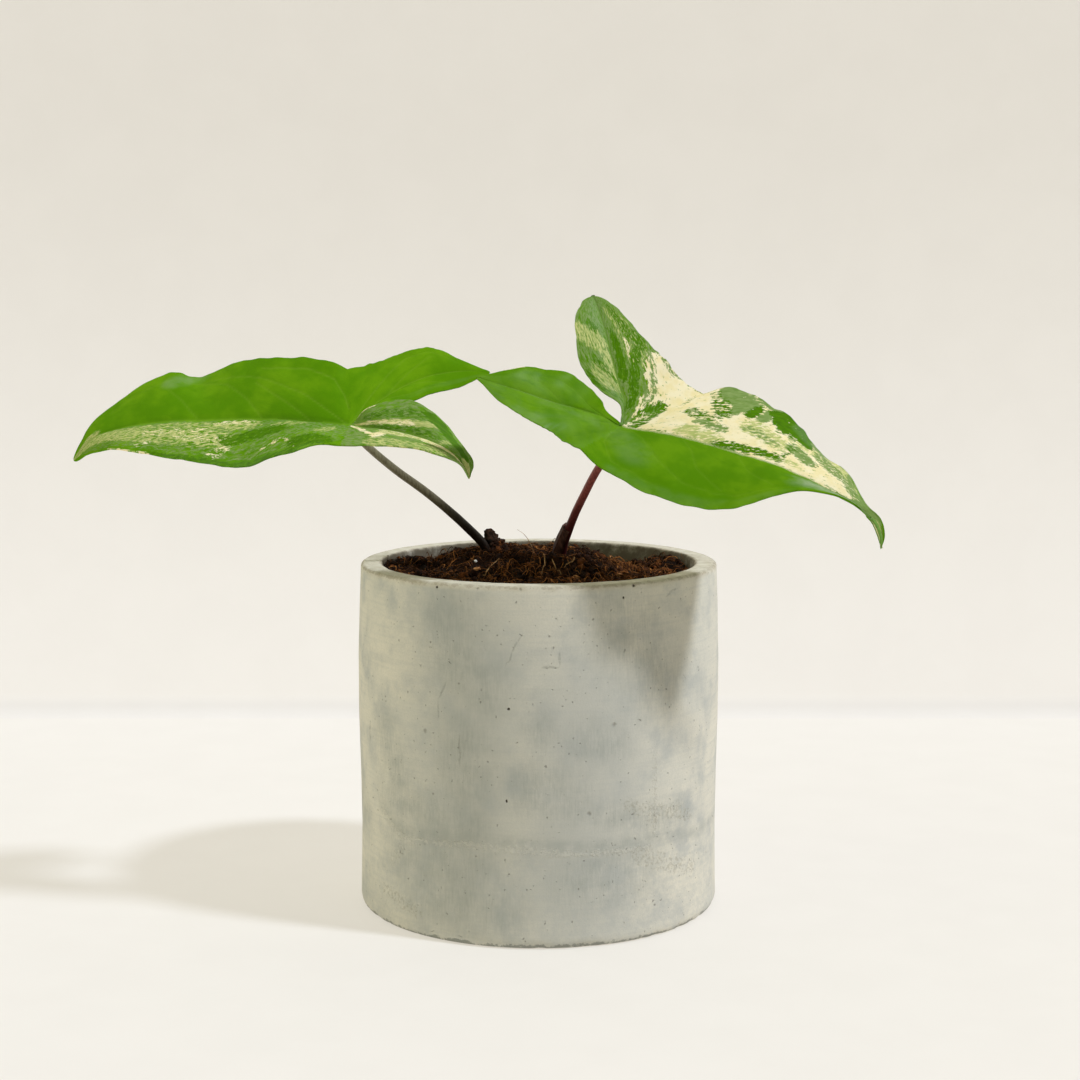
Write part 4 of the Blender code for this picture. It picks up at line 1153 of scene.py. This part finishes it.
def reach_of(places, route, lobe):
    """Distance in millimetres from places, as (share, across), to a route of such places."""
    size = np.array([LOBE_LENGTH[lobe], HALF_WIDTH[lobe]])
    return distance_to(places * size, np.array(route) * size)


def brush(places, strokes, lobe):
    """What each stroke leaves on each place: a number for every paint."""
    layers = {paint: np.zeros(len(places)) for paint in PAINTS}
    for paint, strength, width, route in strokes:
        side = np.sign(route[0][1])
        soft = 1.0 + 0.6 * width
        near = soft_step((width + 0.5 * soft - reach_of(places, route, lobe)) / soft)
        near = near * strength * soft_step(0.5 + side * places[:, 1] / 0.04)
        cover = soft_step((near - 0.6) / 0.4)
        for name, layer in layers.items():
            if name != paint and not (paint in ("milky", "dark", "pale") and name == "cream"):
                layer *= 1 - cover
        layers[paint] = np.maximum(layers[paint], near)
    return layers


def write_relief(obj, places, lobe):
    """Writes the veins, the depth of their grooves, and how near each point is to the margin and the seam."""
    share, across = places.T
    from_rib = np.abs(across) * HALF_WIDTH[lobe]
    fade = 1 - 0.7 * share
    vein = np.exp(-(from_rib / RIB_WIDTH) ** 2)
    relief = -RIB_DEPTH[lobe] * np.exp(-(from_rib / RIB_GROOVE) ** 2) * fade
    for route in MAIN_VEINS if lobe == "main" else LOBE_VEINS:
        distance = reach_of(places, route, lobe)
        vein = np.maximum(vein, np.exp(-(distance / VEIN_WIDTH) ** 2) * fade)
        relief -= VEIN_DEPTH * np.exp(-(distance / VEIN_GROOVE) ** 2) * fade
    write_values(obj, "vein", vein)
    write_values(obj, "relief", relief)
    write_values(obj, "rim", np.abs(across) ** 3 * np.clip((0.8 - share) / 0.25, 0, 1))
    write_values(obj, "seam", soft_step(1 - share * LOBE_LENGTH[lobe] / SEAM_LENGTH))


def write_flow(obj, places, lobe):
    """Lays out the UV map so that specks on it run outwards from the rib, otherwise on each side."""
    share, across = places.T
    slant = math.radians(VEIN_SLANT)
    run = share * LOBE_LENGTH[lobe]
    spread = np.abs(across) * HALF_WIDTH[lobe]
    side = np.sign(across)
    flow = np.stack([run * math.cos(slant) + spread * math.sin(slant) + FLOW_SHIFT[0] * side,
                     spread * math.cos(slant) - run * math.sin(slant) + FLOW_SHIFT[1] * side], -1) / FLOW_UNIT
    layer = obj.data.uv_layers[0]
    layer.name = "flow"
    corners = np.zeros(len(obj.data.loops), int)
    obj.data.loops.foreach_get("vertex_index", corners)
    layer.data.foreach_set("uv", flow[corners].astype(np.float32).ravel())


def make_lobe(leaf, lobe, strokes, glosses, tip_length):
    """One lobe as a fine grid laid on its guide lines, with its paint and relief written to its points."""
    tip_share = tip_length / LOBE_LENGTH[lobe]
    shares = np.linspace(0, 1, ROWS[lobe] + 1)
    near_tip = shares > 1 - tip_share
    shares[near_tip] = 1 - tip_share + tip_share * np.sin(np.linspace(0, math.pi / 2, near_tip.sum() + 1)[1:])
    acrosses = np.linspace(-1, 1, 2 * SIDE_CELLS + 1)
    clear_selection()
    bpy.ops.mesh.primitive_grid_add(x_subdivisions=2 * SIDE_CELLS, y_subdivisions=ROWS[lobe], size=1)
    obj = bpy.context.object
    set_points(obj, lobe_surface(blade_lines(leaf, lobe), shares, acrosses, tip_share) * MM)
    places = np.array([(share, across) for share in shares for across in acrosses])
    for paint, values in brush(places, strokes, lobe).items():
        write_values(obj, paint, values)
    gloss = np.zeros(len(places))
    for strength, width, route in glosses:
        gloss = np.maximum(gloss, strength * soft_step(1.5 - reach_of(places, route, lobe) / width))
    write_values(obj, "gloss", gloss)
    write_relief(obj, places, lobe)
    write_flow(obj, places, lobe)
    return obj


def select_by(obj, chosen):
    """Selects the points of a mesh that are chosen, and leaves it in edit mode."""
    take(obj)
    bpy.ops.object.mode_set(mode="EDIT")
    bpy.ops.mesh.select_mode(type="VERT")
    bpy.ops.mesh.select_all(action="DESELECT")
    bpy.ops.object.mode_set(mode="OBJECT")
    for vertex, pick in zip(obj.data.vertices, chosen):
        vertex.select = bool(pick)
    bpy.ops.object.mode_set(mode="EDIT")


def values_of(obj, name):
    values = np.zeros(len(obj.data.vertices), np.float32)
    obj.data.attributes[name].data.foreach_get("value", values)
    return values


def join_lobes(lobes):
    """One surface from the lobes of a blade, merged where they meet and facing up."""
    clear_selection()
    for lobe in lobes:
        lobe.select_set(True)
    bpy.context.view_layer.objects.active = lobes[0]
    bpy.ops.object.join()
    blade = bpy.context.object
    bpy.ops.object.mode_set(mode="EDIT")
    bpy.ops.mesh.select_all(action="SELECT")
    bpy.ops.mesh.remove_doubles(threshold=0.02 * MM)
    bpy.ops.mesh.dissolve_degenerate(threshold=0.01 * MM)
    bpy.ops.mesh.select_all(action="SELECT")
    bpy.ops.mesh.normals_make_consistent(inside=False)
    bpy.ops.object.mode_set(mode="OBJECT")
    if sum(face.normal.z * face.area for face in blade.data.polygons) < 0:
        blade.data.flip_normals()
    return blade


def smooth_seams(blade):
    """Smooths the surface where the lobes meet, and leaves its open margins as they are."""
    uses = {}
    for face in blade.data.polygons:
        for key in face.edge_keys:
            uses[key] = uses.get(key, 0) + 1
    margin = np.zeros(len(blade.data.vertices), bool)
    for key, count in uses.items():
        if count == 1:
            margin[list(key)] = True
    select_by(blade, (values_of(blade, "seam") > 0.05) & ~margin)
    bpy.ops.mesh.vertices_smooth(factor=0.5, repeat=12)
    bpy.ops.object.mode_set(mode="OBJECT")


def raise_relief(blade):
    """Moves the skin up or down by its grooves, its soft ripples and the flutter of its margin."""
    normals = np.zeros(3 * len(blade.data.vertices))
    blade.data.vertex_normals.foreach_get("vector", normals)
    points = points_of(blade)
    ripple = np.array([0.3 * bumps(p / MM, 13) + 0.12 * bumps(p / MM + 70, 5) for p in points])
    flutter = np.array([0.7 * bumps(p / MM + 30, 8) for p in points]) * values_of(blade, "rim")
    lift = values_of(blade, "relief") + ripple + flutter
    set_points(blade, points + normals.reshape(-1, 3) * lift[:, None] * MM)


def make_blade(name, leaf, strokes, glosses, tips, slot, node_name, materials):
    """A blade: its lobes joined, shaped and given their thickness, with an upper and a lower skin."""
    blade = join_lobes([make_lobe(leaf, lobe, strokes[lobe], glosses[lobe], tips[lobe]) for lobe in LOBES])
    smooth_seams(blade)
    raise_relief(blade)
    solidify = blade.modifiers.new("thickness", "SOLIDIFY")
    solidify.thickness = BLADE_THICKNESS * MM
    solidify.offset = -1
    solidify.material_offset = 1
    wear(blade, *materials)
    take(blade)
    bpy.ops.object.modifier_apply(modifier="thickness")
    bpy.ops.object.shade_smooth_by_angle(angle=math.radians(60))
    settle(blade, name, slot, node_name)


# --- stems and loose things --------------------------------------------------------------------------------


def make_petiole(name, route, radii, slot, node_name, material):
    petiole = tube(route, radii, 60, 6)
    points = points_of(petiole) / MM
    for point in points:
        point += np.array([bumps(point, 4), bumps(point + 20, 4), 0]) * 0.06
    set_points(petiole, points * MM)
    wear(petiole, material)
    settle(petiole, name, slot, node_name)


def shaken(point, size, *shifts):
    """Unlike bumps of one size for a point, one along each axis."""
    return np.array([bumps(point + shift, size) for shift in shifts])


def make_stub():
    fine = []
    for (radius, height), (next_radius, next_height) in zip(STUB_PROFILE, STUB_PROFILE[1:]):
        for i in range(3):
            fine.append((radius + (next_radius - radius) * i / 3, height + (next_height - height) * i / 3))
    stub = turned([*fine, STUB_PROFILE[-1]], 36)
    points = points_of(stub) / MM
    for point in points:
        point += shaken(point, 2.0, 0, 9, 17) * 0.8
        point += shaken(point, 0.9, 0, 9, 17) * 0.35
    set_points(stub, points * MM)
    stub.location = Vector(STUB_FOOT) * MM
    stub.rotation_mode = "QUATERNION"
    stub.rotation_quaternion = Vector(STUB_LEAN).to_track_quat("Z", "Y")
    wear(stub, make_rough_material("old stem", (0.008, 0.005, 0.003), (0.045, 0.02, 0.01), 0.8, 0.6))
    settle(stub, "old_stem_stub", "old_stem", "stem_stub")


def make_rootlets():
    """Thin dry roots that follow the soil, and one hair that stands up from it."""
    material = make_rough_material("dry root", (0.2, 0.1, 0.04), (0.5, 0.3, 0.14), 0.8, 0.08)
    stations = 16
    for name, places in ROOTLETS.items():
        route = []
        for i in range(stations + 1):
            x, y, _ = through([(x, y, 0) for x, y in places], i / stations)
            route.append((x, y, crumbly_height(x, y) + 1.5))
        root = tube(route, [(0, 0.17), (0.5, 0.2), (1, 0.1)], 48, 3)
        wear(root, material)
        settle(root, name + "_fine", "root", name)
    hair = tube(STANDING_HAIR, [(0, 0.13), (0.6, 0.1), (1, 0.04)], 40, 2)
    wear(hair, material)
    settle(hair, "standing_hair", "root")


def make_chips():
    material = make_rough_material("bark", (0.16, 0.06, 0.02), (0.5, 0.24, 0.09), 0.9, 0.25, (1.0, 0.3, 1.0))
    for name, (x, y, length, width, thickness, turn) in BARK_CHIPS.items():
        clear_selection()
        bpy.ops.mesh.primitive_cube_add(size=1)
        chip = bpy.context.object
        chip.scale = Vector((length, width, thickness)) * MM
        bpy.ops.object.transform_apply(scale=True)
        bpy.ops.object.mode_set(mode="EDIT")
        bpy.ops.mesh.subdivide(number_cuts=5)
        bpy.ops.object.mode_set(mode="OBJECT")
        points = points_of(chip) / MM
        for point in points:
            point *= 1 - 0.22 * (abs(point[0]) / length + abs(point[1]) / width)
            point += shaken(point, 1.1, x, y, 5) * 0.35
        set_points(chip, points * MM)
        bpy.ops.object.shade_smooth()
        normal = soil_normal(x, y)
        lean = normal.to_track_quat("Z", "Y").to_matrix().to_4x4()
        lean = lean @ Matrix.Rotation(math.radians(turn), 4, "Z")
        place = Vector((x, y, soil_height(x, y))) + normal * (thickness / 2 + 0.2)
        chip.matrix_world = Matrix.Translation(place * MM) @ lean
        wear(chip, material)
        settle(chip, name + "_rough", "bark", name)


def make_perlite():
    clear_selection()
    bpy.ops.mesh.primitive_ico_sphere_add(subdivisions=4, radius=0.5 * MM)
    grain = bpy.context.object
    points = points_of(grain) / MM
    for point in points:
        point *= 1 + 0.3 * bumps(point + 3, 0.3)
    set_points(grain, points * MM)
    bpy.ops.object.shade_smooth()
    x, y = PERLITE_PLACE
    grain.location = Vector((x, y, soil_height(x, y) + 0.8)) * MM
    wear(grain, make_rough_material("perlite", (0.55, 0.53, 0.48), (0.85, 0.84, 0.8), 2.0, 0.1))
    settle(grain, "perlite_grain_rough", "perlite", "perlite_grain")


def dress_sheath():
    """The sheath keeps its CAD shape and gets a dry, streaky skin."""
    material = make_rough_material("dry sheath", (0.03, 0.012, 0.010), (0.10, 0.045, 0.032), 0.9, 0.15,
                                   (1.0, 1.0, 0.15), 0.6)
    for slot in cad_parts["sheath"].material_slots:
        slot.material = material


# --- stage, light and camera, in metres --------------------------------------------------------------------

STAGE_SIZE = 8.0
WALL_SHOWN = 0.32  # how much of the wall the camera sees above the table
WALL_DISTANCE = 0.291  # from the pot's axis back to the wall
COVE = 0.010  # radius of the hollow between the table and the wall
TABLE_WHITE = (0.34, 0.34, 0.34)
WALL_WHITE = (0.45, 0.45, 0.45)
TABLE_GLOW = (0.54, 0.505, 0.44)
WALL_FOOT_GLOW = (0.53, 0.495, 0.445)
WALL_TOP_GLOW = (0.41, 0.37, 0.31)

ROOM_DIM = (0.15, 0.145, 0.13)
ROOM_BRIGHT = (1.32, 1.32, 1.0)  # towards the window, on the left
ROOM_SEEN = (0.80, 0.77, 0.69)
SUN_STRENGTH = 2.65
SUN_COLOUR = (0.845, 0.894, 1.0)
SUN_WIDTH = 6.0  # degrees across, which softens the shadows
SUN_HEADING = (-0.608, 0.235, -0.758)

CAMERA_PLACE = (0.0005, -0.6716, 0.2079)
CAMERA_DOWN = 7.21  # degrees below level
CAMERA_LENS = 66.67
CAMERA_SENSOR = 36.0


def make_stage_material(name, foot_paint, paint, low_glow, high_glow, see_through=False):
    """Plain pale surface that glows a little, as in light from all sides, and can be clear from behind."""
    made, tree, shader = new_material(name, 0.9, 0.1)
    place = node(tree, "TexCoord").outputs["Object"]
    z = height_of(tree, place)
    fine = noise_at(tree, place, 40.0, 3.0)
    colour = blend(tree, ramp(tree, z, 0.4 * COVE, COVE), foot_paint, paint)
    colour = blend(tree, ramp(tree, fine, 0.3, 0.7, 0.0, 0.03), colour, (0.0, 0.0, 0.0))
    tree.links.new(colour, shader.inputs["Base Color"])
    glow = blend(tree, ramp(tree, z, 0.0, WALL_SHOWN), low_glow, high_glow)
    tree.links.new(glow, shader.inputs["Emission Color"])
    shader.inputs["Emission Strength"].default_value = 1.0
    if see_through:
        clear = node(tree, "BsdfTransparent")
        back = node(tree, "NewGeometry").outputs["Backfacing"]
        choice = node(tree, "MixShader", {0: back, 1: shader.outputs[0], 2: clear.outputs[0]})
        tree.links.new(choice.outputs[0], tree.nodes["Material Output"].inputs["Surface"])
    return made


def make_stage():
    clear_selection()
    bpy.ops.mesh.primitive_plane_add(size=STAGE_SIZE)
    floor = bpy.context.object
    floor.name = "floor"
    wear(floor, make_stage_material("white table", TABLE_WHITE, TABLE_WHITE, TABLE_GLOW, TABLE_GLOW))
    bpy.ops.mesh.primitive_plane_add(size=STAGE_SIZE)
    wall = bpy.context.object
    wall.name = "wall"
    wall.rotation_euler = (math.radians(90), 0, 0)
    wall.location = (0, WALL_DISTANCE, STAGE_SIZE / 2 + COVE)
    bpy.ops.object.transform_apply(location=True, rotation=True)
    select_by(wall, [vertex.co.z < 1 for vertex in wall.data.vertices])
    middle = (0, WALL_DISTANCE - COVE, COVE)
    bpy.ops.mesh.spin(steps=10, angle=math.radians(90), axis=(1, 0, 0), center=middle)
    bpy.ops.object.mode_set(mode="OBJECT")
    bpy.ops.object.shade_smooth()
    cream = make_stage_material("cream wall", TABLE_WHITE, WALL_WHITE, WALL_FOOT_GLOW, WALL_TOP_GLOW, True)
    wear(wall, cream)


def make_light():
    """A room that is bright on its left, and soft sun from a window."""
    world = bpy.data.worlds.new("soft room")
    bpy.context.scene.world = world
    world.use_nodes = True
    tree = world.node_tree
    heading = node(tree, "TexCoord").outputs["Generated"]
    left = node(tree, "VectorMath", {0: heading, 1: (-1.0, 0.0, 0.0)}, operation="DOT_PRODUCT")
    room = blend(tree, maths(tree, "MAXIMUM", left.outputs["Value"], 0.0), ROOM_DIM, ROOM_BRIGHT)
    seen = node(tree, "LightPath").outputs["Is Camera Ray"]
    tree.links.new(blend(tree, seen, room, ROOM_SEEN), tree.nodes["Background"].inputs["Color"])
    sun = bpy.data.lights.new("window", "SUN")
    sun.energy = SUN_STRENGTH
    sun.color = SUN_COLOUR
    sun.angle = math.radians(SUN_WIDTH)
    lamp = bpy.data.objects.new("window", sun)
    lamp.rotation_mode = "QUATERNION"
    lamp.rotation_quaternion = Vector(SUN_HEADING).to_track_quat("-Z", "Y")
    bpy.context.scene.collection.objects.link(lamp)


def make_camera():
    camera = bpy.data.cameras.new("camera")
    camera.lens = CAMERA_LENS
    camera.sensor_width = CAMERA_SENSOR
    camera.clip_start = 0.01
    view = bpy.data.objects.new("camera", camera)
    view.location = CAMERA_PLACE
    view.rotation_euler = (math.radians(90 - CAMERA_DOWN), 0, 0)
    bpy.context.scene.collection.objects.link(view)
    bpy.context.scene.camera = view
    bpy.context.scene.view_settings.view_transform = "Standard"


make_camera()
make_light()
make_stage()
make_pot()
make_soil()
make_crumbs()
make_fibres()
make_petiole("left_petiole", LEFT_PETIOLE, LEFT_RADII, "petiole_green_brown", "petiole_left",
             make_stem_material("green brown stem", (0.014, 0.008, 0.006), (0.15, 0.13, 0.075),
                                (0.24, 0.22, 0.13), (0.035, 0.023, 0.014)))
make_petiole("right_petiole", RIGHT_PETIOLE, RIGHT_RADII, "petiole_maroon", "petiole_right",
             make_stem_material("maroon stem", (0.06, 0.010, 0.010), (0.24, 0.06, 0.05),
                                (0.30, 0.12, 0.10), (0.035, 0.008, 0.008)))
make_stub()
make_rootlets()
make_chips()
make_perlite()
dress_sheath()
underside = make_blade_material("leaf underside", 1.0, 0.1, True)
make_blade("left_blade", LEFT_LEAF, LEFT_PAINT, LEFT_GLOSS, ROUND_TIPS["left"], "leaf", "leaf_left",
           (make_blade_material("left leaf skin", 1.14, 0.24), underside))
make_blade("right_blade", RIGHT_LEAF, RIGHT_PAINT, RIGHT_GLOSS, ROUND_TIPS["right"], "leaf_variegated",
           "leaf_right", (make_blade_material("right leaf skin", 1.0, 0.1), underside))
